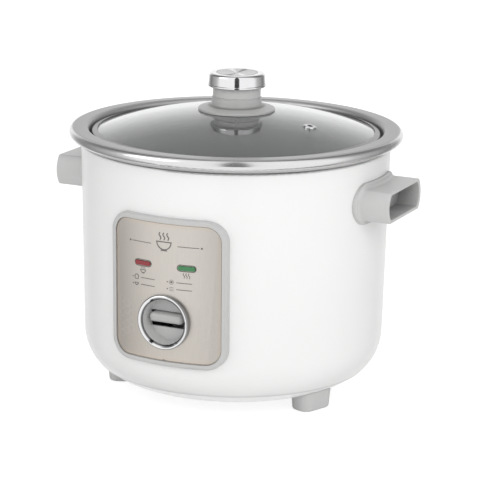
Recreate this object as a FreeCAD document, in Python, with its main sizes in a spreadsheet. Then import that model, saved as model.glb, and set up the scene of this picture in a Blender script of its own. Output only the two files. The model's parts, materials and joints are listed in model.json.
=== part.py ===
import FreeCAD
import Part
import Sketcher
import math
import os

Vector = FreeCAD.Vector
doc = FreeCAD.newDocument("RiceCooker")
sheet = doc.addObject("Spreadsheet::Sheet", "Sizes")

# Driving dimensions in millimetres and degrees.
# The origin is on the floor under the middle, front at -Y, handles along X, up is +Z.
driving = {
    # Drum and base
    "body_radius": 127.2, "drum_lean": 2.8, "shell_top": 206.5, "shell_wall": 1.0, "corner_radius": 41,
    "cover_bottom": 9.4, "cover_depth": 12.2, "cover_wall": 1.2, "cover_step": 0.9,
    "floor_hole_radius": 62, "top_edge_round": 1.5, "vent_inner": 36, "vent_outer": 60, "vent_width": 4,
    "vent_count": 16,
    # Working reach of blanks and cuts beyond the handles
    "blank_reach": 30, "cut_reach": 10,
    # Feet
    "foot_angle": 68.3, "foot_outset": 10.2, "foot_width": 35, "foot_depth": 24, "foot_round": 8,
    "foot_taper": 5, "foot_waist": 2, "foot_edge_round": 2, "screw_well_radius": 4.6,
    "screw_well_depth": 6, "screw_tip": 4,
    # Running and seating clearances
    "seat_gap": 0.3, "skin_gap": 0.15, "fit_gap": 0.25, "press_gap": 0.05,
    # Inner pot
    "pot_space": 12.4, "pot_wall": 1.0, "pot_corner": 16, "pot_side_gap": 0.8, "recess_ledge": 6.2,
    "recess_depth": 11.4, "rim_overhang": 9.8, "bead_radius": 4.4, "skirt_length": 6.6,
    "skirt_angle": 60, "flange_round": 2.5,
    # Lid
    "lid_gap": 2.5, "band_wall": 1.0, "band_height": 7.6, "band_lip": 4.5, "glass_wall": 4,
    "dome_height": 19.3, "knob_hole_radius": 4, "steam_radius": 71.8, "steam_turn": 9.6,
    "steam_bore": 2.2, "steam_neck": 3.2, "steam_flange": 5.4, "steam_flange_wall": 1.2,
    "steam_bevel": 0.5, "steam_tail": 1.5,
    # Knob
    "guard_radius": 31.5, "guard_edge": 1.9, "guard_round": 0.8, "guard_rise": 1.6, "neck_sweep": 3.2,
    "neck_draft": 0.3, "neck_radius": 19.6, "neck_top": 18.6, "neck_ring": 20.5, "groove_level": 10.2,
    "groove_depth": 0.8, "groove_width": 1.2, "spigot_radius": 14, "spigot_height": 5, "cap_radius": 24,
    "cap_height": 11, "cap_lean": 0.9, "cap_lip": 1.6, "cap_step": 0.4, "cap_chamfer": 0.6,
    "cap_round": 2.4, "disc_radius": 16.8, "disc_wall": 1.2, "disc_dish": 0.5, "disc_edge": 0.5,
    "disc_lip": 0.1, "gasket_radius": 16, "gasket_wall": 1.1, "washer_radius": 13, "washer_wall": 2,
    "knob_screw_stop": 2, "screw_radius": 2, "screw_head_radius": 4, "screw_head": 2.6,
    # Handles
    "handle_level": 172.7, "handle_height": 25.4, "handle_half": 31, "handle_bulge": 4.7,
    "handle_stand": 22.8, "handle_wall": 2.6, "handle_back": 4.5, "handle_flange": 3.4,
    "flange_margin": 4.2, "flange_side": 3.6, "flange_bulge": 13, "flange_edge_round": 1.4,
    "handle_fillet": 2.6, "handle_corner": 3, "handle_mouth_round": 0.9, "handle_screw_spread": 18,
    "handle_screw_length": 4.4, "handle_screw_cover": 1,
    # Control panel
    "panel_half": 50.6, "panel_low": 48, "panel_high": 169, "panel_round": 17, "panel_lip": 4,
    "panel_back": 2.2, "panel_proud": 4.4, "panel_edge_round": 1.8, "fascia_wall": 0.9,
    "notch_radius": 1.4,
    # Switch
    "switch_level": 84.5, "ring_radius": 22.3, "ring_mouth": 18.4, "ring_proud": 3.2, "ring_bead": 1.4,
    "ring_flat": 0.5, "ring_fall": 2, "ring_depth": 2, "dish_radius": 19.6, "dish_wall": 1.5,
    "dish_sink": 6, "dish_proud": 0.6, "dish_floor_wall": 1.6, "dish_cone": 1.3, "slot_half": 16,
    "slot_low": 77.6, "slot_high": 90.7, "slot_round": 1.2,
    # Signal lights
    "light_spread": 19.2, "light_level": 130, "light_half": 7, "light_rise": 1.75,
    "light_round_share": 0.96, "lens_proud": 0.6, "lens_depth": 3.2, "lamp_radius": 2.2,
    "lamp_length": 13,
    # Heating plate
    "plate_top": 89.7, "plate_inset": 24.8, "plate_wall": 6, "plate_hole": 18.2, "heater_inner": 50,
    "heater_outer": 64, "heater_drop": 10, "heater_slope": 2, "plate_draft": 1, "plate_edge_round": 3,
    "post_radius": 4, "post_ring_radius": 76, "terminal_angle": 12, "terminal_radius": 2.2,
    "terminal_length": 22, "bush_radius": 4.4, "bush_length": 6, "blind_cover": 1.5,
    "plate_screw_stop": 2.5,
    # Temperature sensor in the middle of the plate
    "cap_top_wall": 1.5, "sensor_radius": 17, "sensor_edge": 1, "sensor_wall": 1.1,
    "ferrite_radius": 10.5, "ferrite_wall": 5, "magnet_wall": 5, "carrier_radius": 13.6,
    "carrier_wall": 1.2, "rod_radius": 2, "rod_tail": 3.6, "collar_radius": 5.2, "collar_wall": 2,
    "guide_wall": 1.2, "press_travel": 2.5, "sensor_spring_length": 10, "sensor_wire": 0.6,
    "sensor_coil": 13.6, "magnet_wire": 0.45, "magnet_coil": 12.4, "coil_turns": 4, "stirrup_wall": 1.4,
    "stirrup_half": 20.6, "stirrup_hole": 7, "stirrup_depth": 9, "stirrup_ear": 13,
    # Switch lever and its bracket
    "pivot_back": 66, "lever_angle": 4.5, "lever_wall": 1.8, "lever_half": 6, "lever_end_drop": 1,
    "lever_set_back": 17, "fork_half": 2.7, "fork_tail": 6, "knuckle_radius": 4, "pin_radius": 1.9,
    "paddle_half": 14.6, "paddle_height": 7.6, "paddle_gap": 0.6, "paddle_stand": 7.2, "paddle_tail": 5,
    "paddle_round": 3.4, "paddle_edge_round": 3, "stem_half": 9, "stem_height": 5, "stem_round": 1,
    "bracket_wall": 1.4, "bracket_half": 9.2, "bracket_front": 84, "bracket_rear": 40,
    "bracket_foot": 20, "ear_margin": 5, "ear_front": 8, "ear_rear": 4, "bracket_screw_inset": 6,
    "pin_overhang": 2.4, "clip_radius": 3.4, "clip_wall": 0.9, "clip_gap": 0.1,
    # Switch under the lever
    "button_arm": 14, "switch_half": 3.4, "switch_length": 20, "switch_height": 11, "button_half": 1.5,
    "button_rise": 2.6, "button_depth": 2,
    # Keep-warm thermostat and thermal fuse
    "thermostat_radius": 8, "thermostat_height": 9, "thermostat_place": 34, "tab_width": 1.6,
    "tab_wall": 0.8, "tab_length": 7, "tab_root": 0.5, "tab_spread": 4.5, "fuse_radius": 2.2,
    "fuse_length": 16, "fuse_place": 36, "strap_wall": 0.8, "strap_width": 6, "strap_reach": 12,
    # Power inlet at the back
    "inlet_level": 72, "inlet_half": 22, "inlet_rise": 13.5, "inlet_round": 5, "inlet_proud": 3.2,
    "socket_half": 12.4, "socket_rise": 8.4, "socket_round": 3, "socket_depth": 17, "socket_wall": 2,
    "prong_half": 1, "prong_rise": 2, "prong_spread": 7, "prong_short": 5, "prong_tail": 8,
    "prong_drop": 1.5, "prong_lift": 2.5, "inlet_screw_spread": 17.5, "inlet_screw_grip": 6,
}


class Size:
    """A length and the sheet formula that gives it."""

    def __init__(self, value, formula):
        self.value = value
        self.formula = formula

    def __add__(self, other):
        other = as_size(other)
        return Size(self.value + other.value, f"({self.formula} + {other.formula})")

    def __sub__(self, other):
        other = as_size(other)
        return Size(self.value - other.value, f"({self.formula} - {other.formula})")

    def __mul__(self, other):
        other = as_size(other)
        return Size(self.value * other.value, f"({self.formula} * {other.formula})")

    def __truediv__(self, other):
        other = as_size(other)
        return Size(self.value / other.value, f"({self.formula} / {other.formula})")

    def __radd__(self, other):
        return as_size(other) + self

    def __rsub__(self, other):
        return as_size(other) - self

    def __rmul__(self, other):
        return as_size(other) * self

    def __neg__(self):
        return Size(-self.value, f"(0 - {self.formula})")


def as_size(number):
    return number if isinstance(number, Size) else Size(number, f"({number})")


def root(size):
    return Size(math.sqrt(size.value), f"sqrt({size.formula})")


def cosine(angle):
    angle = as_size(angle)
    return Size(math.cos(math.radians(angle.value)), f"cos({angle.formula})")


def sine(angle):
    angle = as_size(angle)
    return Size(math.sin(math.radians(angle.value)), f"sin({angle.formula})")


class Sizes:
    """The sheet's cells, each reached by its alias."""


size = Sizes()
for row, (alias, number) in enumerate(driving.items(), start=1):
    sheet.set(f"A{row}", str(number))
    sheet.setAlias(f"A{row}", alias)
    setattr(size, alias, Size(number, f"Sizes.{alias}"))
doc.recompute()

nodes = []


# Drawing helpers

def bind(item, path, length):
    item.setExpression(path, as_size(length).formula)


def new_body(label):
    body = doc.addObject("PartDesign::Body", label)
    body.Label = label
    nodes.append(body)
    return body


def new_sketch(body, role):
    sketch = body.newObject("Sketcher::SketchObject", "Outline")
    plane = next(item for item in body.Origin.OriginFeatures if item.Role == role)
    sketch.AttachmentSupport = [(plane, "")]
    sketch.MapMode = "FlatFace"
    return sketch


def pin_point(sketch, curve, end, across, along):
    for kind, axis, length in (("DistanceX", -2, as_size(across)), ("DistanceY", -1, as_size(along))):
        if abs(length.value) < 1e-9:
            sketch.addConstraint(Sketcher.Constraint("PointOnObject", curve, end, axis))
        else:
            index = sketch.addConstraint(Sketcher.Constraint(kind, -1, 1, curve, end, length.value))
            bind(sketch, f"Constraints[{index}]", length)


def flat_point(corner):
    return Vector(as_size(corner[0]).value, as_size(corner[1]).value, 0)


def arc_between(start, end, radius, side):
    """An arc whose centre is left (+1) or right (-1) of the way from start to end."""
    chord = end - start
    rise = math.sqrt(max(radius ** 2 - chord.Length ** 2 / 4, 0))
    left = Vector(-chord.y, chord.x, 0).normalize()
    centre = (start + end) * 0.5 + left * (rise * side)
    first = math.atan2(start.y - centre.y, start.x - centre.x)
    last = math.atan2(end.y - centre.y, end.x - centre.x)
    circle = Part.Circle(centre, Vector(0, 0, 1), radius)
    if side > 0:
        return Part.ArcOfCircle(circle, first, last), (1, 2)
    return Part.ArcOfCircle(circle, last, first), (2, 1)


def draw(sketch, corners):
    """A closed outline; a corner (across, along, radius, side) starts an arc to the next corner."""
    base = sketch.GeometryCount
    count = len(corners)
    ends = []
    for index, corner in enumerate(corners):
        start = flat_point(corner)
        end = flat_point(corners[(index + 1) % count])
        if len(corner) == 2:
            curve = Part.LineSegment(start, end)
            way = (1, 2)
        else:
            curve, way = arc_between(start, end, as_size(corner[2]).value, corner[3])
        sketch.addGeometry(curve)
        ends.append(way)
    for index, corner in enumerate(corners):
        following = (index + 1) % count
        joined = Sketcher.Constraint(
            "Coincident", base + index, ends[index][1], base + following, ends[following][0])
        sketch.addConstraint(joined)
        pin_point(sketch, base + index, ends[index][0], corner[0], corner[1])
        if len(corner) > 2:
            radius = as_size(corner[2])
            place = sketch.addConstraint(Sketcher.Constraint("Radius", base + index, radius.value))
            bind(sketch, f"Constraints[{place}]", radius)


def draw_circle(sketch, across, along, radius):
    centre = flat_point((across, along))
    curve = sketch.addGeometry(Part.Circle(centre, Vector(0, 0, 1), as_size(radius).value))
    pin_point(sketch, curve, 3, across, along)
    index = sketch.addConstraint(Sketcher.Constraint("Radius", curve, as_size(radius).value))
    bind(sketch, f"Constraints[{index}]", radius)


def draw_axis(sketch, start, end):
    curve = sketch.addGeometry(Part.LineSegment(flat_point(start), flat_point(end)), True)
    pin_point(sketch, curve, 1, *start)
    pin_point(sketch, curve, 2, *end)


def rounded_box(half, low, high, radius, middle=0):
    """The corners of a rounded rectangle, middle to middle plus or minus half, from low to high."""
    left = middle - half
    right = middle + half
    return [
        (left + radius, low), (right - radius, low, radius, 1), (right, low + radius),
        (right, high - radius, radius, 1), (right - radius, high), (left + radius, high, radius, 1),
        (left, high - radius), (left, low + radius, radius, 1)]


def plain_box(left, right, low, high):
    return [(left, low), (right, low), (right, high), (left, high)]


# Feature helpers

def volume_after(body):
    doc.recompute()
    return body.Shape.Volume if body.Tip else 0


def add_feature(body, kind, sketch):
    before = volume_after(body)
    feature = body.newObject(kind, kind.split("::")[1])
    feature.Profile = sketch
    return feature, before


def prove(body, before, cuts, label):
    after = volume_after(body)
    changed = after < before - 1e-6 if cuts else after > before + 1e-6
    if not changed:
        raise RuntimeError(f"{body.Label}: {label} changed nothing")


def spin(body, outline, role="XZ_Plane", cuts=False, axis=None):
    """Turns an outline about the upright axis, or about a drawn axis, to add or cut."""
    sketch = new_sketch(body, role)
    draw(sketch, outline)
    if axis:
        draw_axis(sketch, *axis)
    kind = "PartDesign::Groove" if cuts else "PartDesign::Revolution"
    feature, before = add_feature(body, kind, sketch)
    feature.ReferenceAxis = (sketch, ["Axis0" if axis else "V_Axis"])
    feature.Angle = 360
    prove(body, before, cuts, "turning")


def sketch_of(body, role, outlines, circles, start):
    """A sketch of outlines and circles; start lifts it off its plane."""
    sketch = new_sketch(body, role)
    if start is not None:
        bind(sketch, "AttachmentOffset.Base.z", start)
    for outline in outlines:
        draw(sketch, outline)
    for circle in circles:
        draw_circle(sketch, *circle)
    return sketch


def pad(body, role, length, outlines=(), circles=(), back=False, middle=False, taper=None, start=None):
    sketch = sketch_of(body, role, outlines, circles, start)
    feature, before = add_feature(body, "PartDesign::Pad", sketch)
    feature.Reversed = back
    feature.Midplane = middle
    bind(feature, "Length", length)
    if taper is not None:
        bind(feature, "TaperAngle", taper)
    prove(body, before, False, "padding")


def pocket(body, role, length, outlines=(), circles=(), back=False, start=None):
    """Cuts outlines and circles out of a body."""
    sketch = sketch_of(body, role, outlines, circles, start)
    feature, before = add_feature(body, "PartDesign::Pocket", sketch)
    feature.Reversed = back
    bind(feature, "Length", length)
    prove(body, before, True, "pocket")
    return feature


def round_edges(body, radius, wanted):
    """Rounds the edges of the body's last feature that wanted(edge) picks."""
    doc.recompute()
    last = body.Tip
    names = [f"Edge{index}" for index, edge in enumerate(last.Shape.Edges, start=1) if wanted(edge)]
    if not names:
        raise RuntimeError(f"{body.Label}: no edge to round")
    feature = body.newObject("PartDesign::Fillet", "Round")
    feature.Base = (last, names)
    bind(feature, "Radius", radius)
    doc.recompute()
    if not feature.Shape.isValid() or "Invalid" in feature.State:
        raise RuntimeError(f"{body.Label}: rounding failed")


def set_place(item, x=None, y=None, z=None, turn=None):
    for path, length in (("x", x), ("y", y), ("z", z)):
        if length is not None:
            bind(item, f"Placement.Base.{path}", length)
    if turn is not None:
        item.Placement = FreeCAD.Placement(item.Placement.Base, FreeCAD.Rotation(Vector(0, 0, 1), 0))
        bind(item, "Placement.Rotation.Angle", turn)


along_axis = {
    "up": FreeCAD.Rotation(),
    "down": FreeCAD.Rotation(Vector(1, 0, 0), 180),
    "right": FreeCAD.Rotation(Vector(0, 1, 0), 90),
    "left": FreeCAD.Rotation(Vector(0, 1, 0), -90),
    "front": FreeCAD.Rotation(Vector(1, 0, 0), 90),
    "back": FreeCAD.Rotation(Vector(1, 0, 0), -90),
}


def cylinder(name, radius, height, x=0, y=0, z=0, way="up"):
    item = doc.addObject("Part::Cylinder", name)
    item.Placement = FreeCAD.Placement(Vector(), along_axis[way])
    bind(item, "Radius", radius)
    bind(item, "Height", height)
    set_place(item, x, y, z)
    return item


def block(name, across, deep, tall, x, y, z):
    """A box with its corner of least x, y and z at the place given."""
    item = doc.addObject("Part::Box", name)
    bind(item, "Length", across)
    bind(item, "Width", deep)
    bind(item, "Height", tall)
    set_place(item, x, y, z)
    return item


def join(name, pieces):
    item = doc.addObject("Part::MultiFuse", name)
    item.Shapes = pieces
    return item


def cut_away(name, base, tool):
    item = doc.addObject("Part::Cut", name)
    item.Base = base
    item.Tool = tool
    return item


def group(name, pieces):
    item = doc.addObject("Part::Compound", name)
    item.Links = pieces
    return item


def keep(item, label):
    item.Label = label
    nodes.append(item)
    return item


def screw(name, length, x, y, z, way):
    """A pan head screw; the place given is the underside of its head, and way is where its point goes."""
    reach = along_axis[way].multVec(Vector(0, 0, 1))
    shank = cylinder(f"{name}Shank", size.screw_radius, length, x, y, z, way)
    head = cylinder(
        f"{name}Head", size.screw_head_radius, size.screw_head,
        x - size.screw_head * reach.x, y - size.screw_head * reach.y, z - size.screw_head * reach.z, way)
    return join(name, [shank, head])


# Shared levels and radii

low_radius = size.body_radius - size.drum_lean
pot_radius = size.body_radius - size.pot_space
recess_radius = pot_radius + size.recess_ledge
plate_radius = pot_radius - size.plate_inset
rim_radius = size.body_radius + size.rim_overhang
handle_reach = size.body_radius + size.handle_stand
blank_reach = handle_reach + size.blank_reach
far_out = blank_reach + size.cut_reach
corner_level = size.cover_bottom + size.corner_radius
corner_middle = low_radius - size.corner_radius
foot_ring_radius = corner_middle + size.foot_outset
floor_low = size.cover_bottom + size.cover_depth
floor_top = floor_low + size.shell_wall
floor_reach = size.corner_radius - size.cover_depth
seam_radius = corner_middle + root(size.corner_radius * size.corner_radius - floor_reach * floor_reach)
inner_corner = size.corner_radius - size.shell_wall
inner_seam_radius = corner_middle + root(inner_corner * inner_corner - floor_reach * floor_reach)
pot_low = size.plate_top + size.seat_gap
shelf_low = size.shell_top + size.seat_gap
shelf_top = shelf_low + size.pot_wall
rim_top = shelf_top + size.recess_depth
well_mouth = pot_radius + size.pot_side_gap
web_low = size.plate_top - size.plate_wall

# The drum leans in by a straight taper; these are the ends of that line carried on below the drum.
lean_low = corner_level * 2 - size.shell_top
lean_low_radius = low_radius * 2 - size.body_radius


def lean_radius(level):
    """The outside radius of the drum's straight wall at a level."""
    share = (level - corner_level) / (size.shell_top - corner_level)
    return low_radius + (size.body_radius - low_radius) * share


# How near an edge must lie to a place to count as being there
close_by = 0.05


def lies_on_skin(edge, proud):
    """True for an edge that lies all along on the drum's skin plus proud."""
    return all(
        abs(math.hypot(spot.x, spot.y) - lean_radius(as_size(spot.z)).value - proud.value) < close_by
        for spot in edge.discretize(5))


def trim_inside(body, proud):
    """Cuts away all that is nearer the axis than the drum's skin plus proud."""
    spin(body, [
        (0, lean_low), (lean_low_radius + proud, lean_low),
        (size.body_radius + proud, size.shell_top), (0, size.shell_top)], cuts=True)


def trim_outside(body, proud):
    """Cuts away all that stands out further than the drum's skin plus proud."""
    spin(body, [
        (lean_low_radius + proud, lean_low), (far_out, lean_low),
        (far_out, size.shell_top), (size.body_radius + proud, size.shell_top)], cuts=True)


# Drum, base cover and feet

def light_outline(side, grow):
    """The outline of a signal light on the panel, larger all round by grow."""
    rise = size.light_rise + grow
    return rounded_box(
        size.light_half + grow, size.light_level - rise, size.light_level + rise,
        rise * size.light_round_share, size.light_spread * side)


def make_shell():
    body = new_body("outer_shell")
    edge = size.top_edge_round
    spin(body, [
        (seam_radius, floor_low, size.corner_radius, 1),
        (low_radius, corner_level),
        (size.body_radius, size.shell_top - edge, edge, 1),
        (size.body_radius - edge, size.shell_top),
        (well_mouth, size.shell_top),
        (well_mouth, size.shell_top - size.shell_wall),
        (size.body_radius - size.shell_wall, size.shell_top - size.shell_wall),
        (low_radius - size.shell_wall, corner_level, inner_corner, -1),
        (inner_seam_radius, floor_low)])
    front = [light_outline(side, size.fit_gap) for side in (-1, 1)]
    dish = (0, size.switch_level, size.dish_radius + size.fit_gap)
    pocket(body, "XZ_Plane", far_out, front, [dish], back=True)
    hole = rounded_box(
        size.socket_half + size.socket_wall + size.fit_gap,
        size.inlet_level - size.socket_rise - size.socket_wall - size.fit_gap,
        size.inlet_level + size.socket_rise + size.socket_wall + size.fit_gap, size.socket_round)
    rear_screws = [
        (size.inlet_screw_spread * side, size.inlet_level, size.screw_radius + size.fit_gap)
        for side in (-1, 1)]
    pocket(body, "XZ_Plane", far_out, [hole], rear_screws)
    holes = [
        (size.handle_screw_spread * side, size.handle_level, size.screw_radius + size.fit_gap)
        for side in (-1, 1)]
    pocket(body, "YZ_Plane", far_out, (), holes)
    pocket(body, "YZ_Plane", far_out, (), holes, back=True)


def make_floor():
    body = new_body("drum_floor")
    spin(body, plain_box(size.floor_hole_radius, inner_seam_radius - size.skin_gap, floor_low, floor_top))
    bore = size.screw_radius + size.fit_gap
    spots = [(post_x(turn), post_y(turn), bore) for turn in post_turns]
    spots += [(foot_x(turn), foot_y(turn), bore) for turn in post_turns]
    spots += [(bracket_screw_x * side, bracket_screw_y, bore) for side in (-1, 1)]
    pocket(body, "XY_Plane", corner_level, (), spots, back=True)


# Feet and plate posts share three directions, measured from the front.
post_turns = (size.foot_angle, -size.foot_angle, as_size(180))
bracket_screw_x = size.bracket_half + size.bracket_wall + size.screw_head_radius + size.fit_gap
bracket_screw_y = -(size.bracket_front - size.bracket_screw_inset)


def post_x(turn):
    return size.post_ring_radius * sine(turn)


def post_y(turn):
    return -(size.post_ring_radius * cosine(turn))


def foot_x(turn):
    return foot_ring_radius * sine(turn)


def foot_y(turn):
    return -(foot_ring_radius * cosine(turn))


def make_cover():
    body = new_body("base_cover")
    outer = size.corner_radius - size.cover_step
    inner = outer - size.cover_wall
    low = size.cover_bottom + size.cover_step
    reach = corner_level - floor_low
    outer_seam = corner_middle + root(outer * outer - reach * reach)
    inner_seam = corner_middle + root(inner * inner - reach * reach)
    spin(body, [
        (0, low), (corner_middle, low, outer, 1), (outer_seam, floor_low),
        (inner_seam, floor_low, inner, -1), (corner_middle, low + size.cover_wall),
        (0, low + size.cover_wall)])
    slot = plain_box(size.vent_inner, size.vent_outer, -(size.vent_width / 2), size.vent_width / 2)
    cut = pocket(body, "XY_Plane", corner_level, [slot], back=True)
    ring = body.newObject("PartDesign::PolarPattern", "VentRing")
    ring.Originals = [cut]
    axis = next(item for item in body.Origin.OriginFeatures if item.Role == "Z_Axis")
    ring.Axis = (axis, [""])
    ring.Angle = 360
    bind(ring, "Occurrences", size.vent_count)
    body.Tip = ring
    screws = [(foot_x(turn), foot_y(turn), size.screw_radius + size.fit_gap) for turn in post_turns]
    pocket(body, "XY_Plane", corner_level, (), screws, back=True)


def make_feet():
    labels = ("foot_right", "foot_left", "foot_rear")
    for label, turn in zip(labels, post_turns):
        body = new_body(label)
        outer = -(foot_ring_radius + size.foot_depth / 2)
        inner = outer + size.foot_depth
        waist = size.foot_waist
        sole = rounded_box(size.foot_width / 2 - waist, outer + waist, inner - waist, size.foot_round)
        pad(body, "XY_Plane", floor_low, [sole], taper=size.foot_taper)
        round_edges(body, size.foot_edge_round, lambda edge: edge.BoundBox.ZMax < 1e-6)
        dish = size.corner_radius - size.cover_step + size.skin_gap
        spin(body, [
            (0, size.cover_bottom + size.cover_step - size.skin_gap),
            (corner_middle, size.cover_bottom + size.cover_step - size.skin_gap, dish, 1),
            (corner_middle + dish, corner_level), (0, corner_level)], cuts=True)
        well = (0, -foot_ring_radius, size.screw_well_radius)
        pocket(body, "XY_Plane", size.screw_well_depth, (), [well], back=True)
        bore = (0, -foot_ring_radius, size.screw_radius + size.fit_gap)
        pocket(body, "XY_Plane", floor_low, (), [bore], back=True)
        set_place(body, turn=turn)
    low = size.cover_bottom + size.cover_step + size.cover_wall
    spacers = []
    screws = []
    hollow = doc.addObject("Part::Torus", "CoverHollow")
    bind(hollow, "Radius1", corner_middle)
    bind(hollow, "Radius2", corner_level - low - size.skin_gap)
    set_place(hollow, z=corner_level)
    for index, turn in enumerate(post_turns):
        tube = cylinder(f"Spacer{index}", size.post_radius, floor_low - low, foot_x(turn), foot_y(turn), low)
        bore = cylinder(
            f"SpacerBore{index}", size.screw_radius + size.fit_gap, floor_low, foot_x(turn), foot_y(turn), 0)
        spacer = doc.addObject("Part::Common", f"SpacerFoot{index}")
        spacer.Base = cut_away(f"SpacerTube{index}", tube, bore)
        spacer.Tool = hollow
        spacers.append(spacer)
        screws.append(screw(
            f"FootScrew{index}", floor_top - size.screw_well_depth + size.screw_tip,
            foot_x(turn), foot_y(turn), size.screw_well_depth, "up"))
    keep(group("Spacers", spacers), "cover_spacers")
    keep(group("FootScrews", screws), "foot_screws")


# Handles

def bulged_outline(half, rise, bulge):
    """An outline at the handles' level, flat above and below, with bulging ends."""
    swell = (rise * rise + bulge * bulge) / (bulge * 2)
    low = size.handle_level - rise
    high = size.handle_level + rise
    return [(-half, low), (half, low, swell, 1), (half, high), (-half, high, swell, 1)]


def grip_outline(grow):
    return bulged_outline(size.handle_half + grow, size.handle_height / 2 + grow, size.handle_bulge)


def flange_outline():
    half = size.handle_half + size.handle_bulge + size.flange_side - size.flange_bulge
    return bulged_outline(half, size.handle_height / 2 + size.flange_margin, size.flange_bulge)


def make_handle(label, turn):
    body = new_body(label)
    reach = handle_reach.value

    def on_flange(edge):
        return lies_on_skin(edge, size.handle_flange)

    def grip_foot(edge):
        rise = size.handle_height.value / 2 + close_by
        off_middle = max(abs(spot.z - size.handle_level.value) for spot in edge.discretize(5))
        return on_flange(edge) and off_middle < rise

    def grip_corner(edge):
        box = edge.BoundBox
        flat = box.YLength < close_by and box.ZLength < close_by
        return flat and box.XMax > reach - close_by

    def at_mouth(edge):
        return edge.BoundBox.XMin > reach - close_by

    pad(body, "YZ_Plane", handle_reach, [flange_outline()])
    trim_outside(body, size.handle_flange)
    round_edges(body, size.flange_edge_round, on_flange)
    pad(body, "YZ_Plane", handle_reach, [grip_outline(as_size(0))])
    round_edges(body, size.handle_corner, grip_corner)
    round_edges(body, size.handle_fillet, grip_foot)
    trim_inside(body, size.skin_gap)
    floor = size.body_radius + size.handle_back
    pocket(body, "YZ_Plane", far_out - floor, [grip_outline(-size.handle_wall)], back=True, start=floor)
    screws = [
        (size.handle_screw_spread * side, size.handle_level, size.screw_radius + size.fit_gap)
        for side in (-1, 1)]
    pocket(body, "YZ_Plane", floor - size.handle_screw_cover, (), screws, back=True)
    round_edges(body, size.handle_mouth_round, at_mouth)
    set_place(body, turn=turn)


def make_handle_screws():
    screws = []
    for side, way in ((1, "right"), (-1, "left")):
        for across in (-1, 1):
            y = size.handle_screw_spread * across
            skin = lean_radius(size.handle_level) - size.shell_wall
            far_edge = size.handle_screw_spread + size.screw_head_radius
            x = root(skin * skin - far_edge * far_edge) - size.skin_gap
            screws.append(screw(
                f"HandleScrew{side}{across}", size.handle_screw_length, x * side, y, size.handle_level, way))
    keep(group("HandleScrews", screws), "handle_screws")


# Control panel

def panel_outline(shrink):
    return rounded_box(
        size.panel_half - shrink, size.panel_low + shrink, size.panel_high - shrink,
        size.panel_round - shrink)


def panel_holes(body, grow):
    lights = [light_outline(side, grow) for side in (-1, 1)]
    dish = (0, size.switch_level, size.dish_radius + grow)
    pocket(body, "XZ_Plane", far_out, lights, [dish], back=True)


def make_panel_frame():
    body = new_body("panel_frame")
    pad(body, "XZ_Plane", blank_reach, [panel_outline(as_size(0))])
    trim_outside(body, size.panel_back)
    pad(body, "XZ_Plane", blank_reach, [panel_outline(as_size(0)), panel_outline(size.panel_lip)])
    trim_outside(body, size.panel_proud)
    trim_inside(body, size.skin_gap)

    def outer_front_edge(edge):
        box = edge.BoundBox
        half = size.panel_half.value - size.panel_lip.value
        low = size.panel_low.value + size.panel_lip.value
        high = size.panel_high.value - size.panel_lip.value
        across = box.XMax < half + close_by and box.XMin > -half - close_by
        upright = box.ZMin > low - close_by and box.ZMax < high + close_by
        return lies_on_skin(edge, size.panel_proud) and not (across and upright)

    round_edges(body, size.panel_edge_round, outer_front_edge)
    panel_holes(body, size.fit_gap)


fascia_low = size.panel_back + size.skin_gap
fascia_top = fascia_low + size.fascia_wall


def make_fascia():
    body = new_body("fascia_plate")
    pad(body, "XZ_Plane", blank_reach, [panel_outline(size.panel_lip + size.fit_gap)])
    trim_outside(body, fascia_top)
    trim_inside(body, fascia_low)
    panel_holes(body, size.fit_gap)
    notch = (0, size.panel_low + size.panel_lip + size.fit_gap, size.notch_radius)
    pocket(body, "XZ_Plane", far_out, (), [notch], back=True)


def make_switch_ring():
    body = new_body("switch_ring")
    crest = -(lean_radius(size.switch_level) + fascia_top + size.ring_proud)
    level = size.switch_level
    bead = size.ring_bead
    mouth = size.ring_mouth
    outer = size.ring_radius
    sleeve = size.dish_radius + size.fit_gap
    back = -(low_radius - size.ring_depth)
    spin(body, [
        (back, level + sleeve), (back, level + outer), (crest + bead, level + outer, bead, 1),
        (crest, level + outer - bead), (crest, level + outer - bead - size.ring_flat),
        (crest + size.ring_fall, level + mouth), (dish_mouth - size.fit_gap, level + mouth),
        (dish_mouth - size.fit_gap, level + sleeve)],
        "YZ_Plane", axis=((back, level), (crest, level)))
    trim_inside(body, fascia_top + size.skin_gap)


dish_mouth = -(lean_radius(size.switch_level) + fascia_top + size.dish_proud)
dish_floor = lean_radius(size.switch_level) - size.dish_sink


def make_dish():
    body = new_body("switch_dish")
    level = size.switch_level
    floor = -dish_floor
    back = floor + size.dish_floor_wall
    inner = size.dish_radius - size.dish_wall
    spin(body, [
        (back, level), (back, level + size.dish_radius), (dish_mouth, level + size.dish_radius),
        (dish_mouth, level + inner), (floor, level + inner - size.dish_cone), (floor, level)],
        "YZ_Plane", axis=((back, level), (dish_mouth, level)))
    slot = rounded_box(size.slot_half, size.slot_low, size.slot_high, size.slot_round)
    pocket(body, "XZ_Plane", far_out, [slot], back=True)


def make_lights():
    lens_back = lean_radius(size.light_level) - size.lens_depth
    for side, colour in ((-1, "cook"), (1, "warm")):
        body = new_body(f"{colour}_lens")
        pad(body, "XZ_Plane", blank_reach, [light_outline(side, as_size(0))])
        trim_outside(body, fascia_top + size.lens_proud)
        spin(body, plain_box(as_size(0), lens_back, lean_low, size.shell_top), cuts=True)
        reach = size.light_spread + size.lamp_length / 2
        inside = lens_back - size.seat_gap - size.lamp_radius
        y = -(root(inside * inside - reach * reach))
        x = size.light_spread * side - size.lamp_length / 2
        lamp = cylinder(f"{colour}Lamp", size.lamp_radius, size.lamp_length, x, y, size.light_level, "right")
        keep(lamp, f"{colour}_lamp")


# Heating plate on its posts

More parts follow.
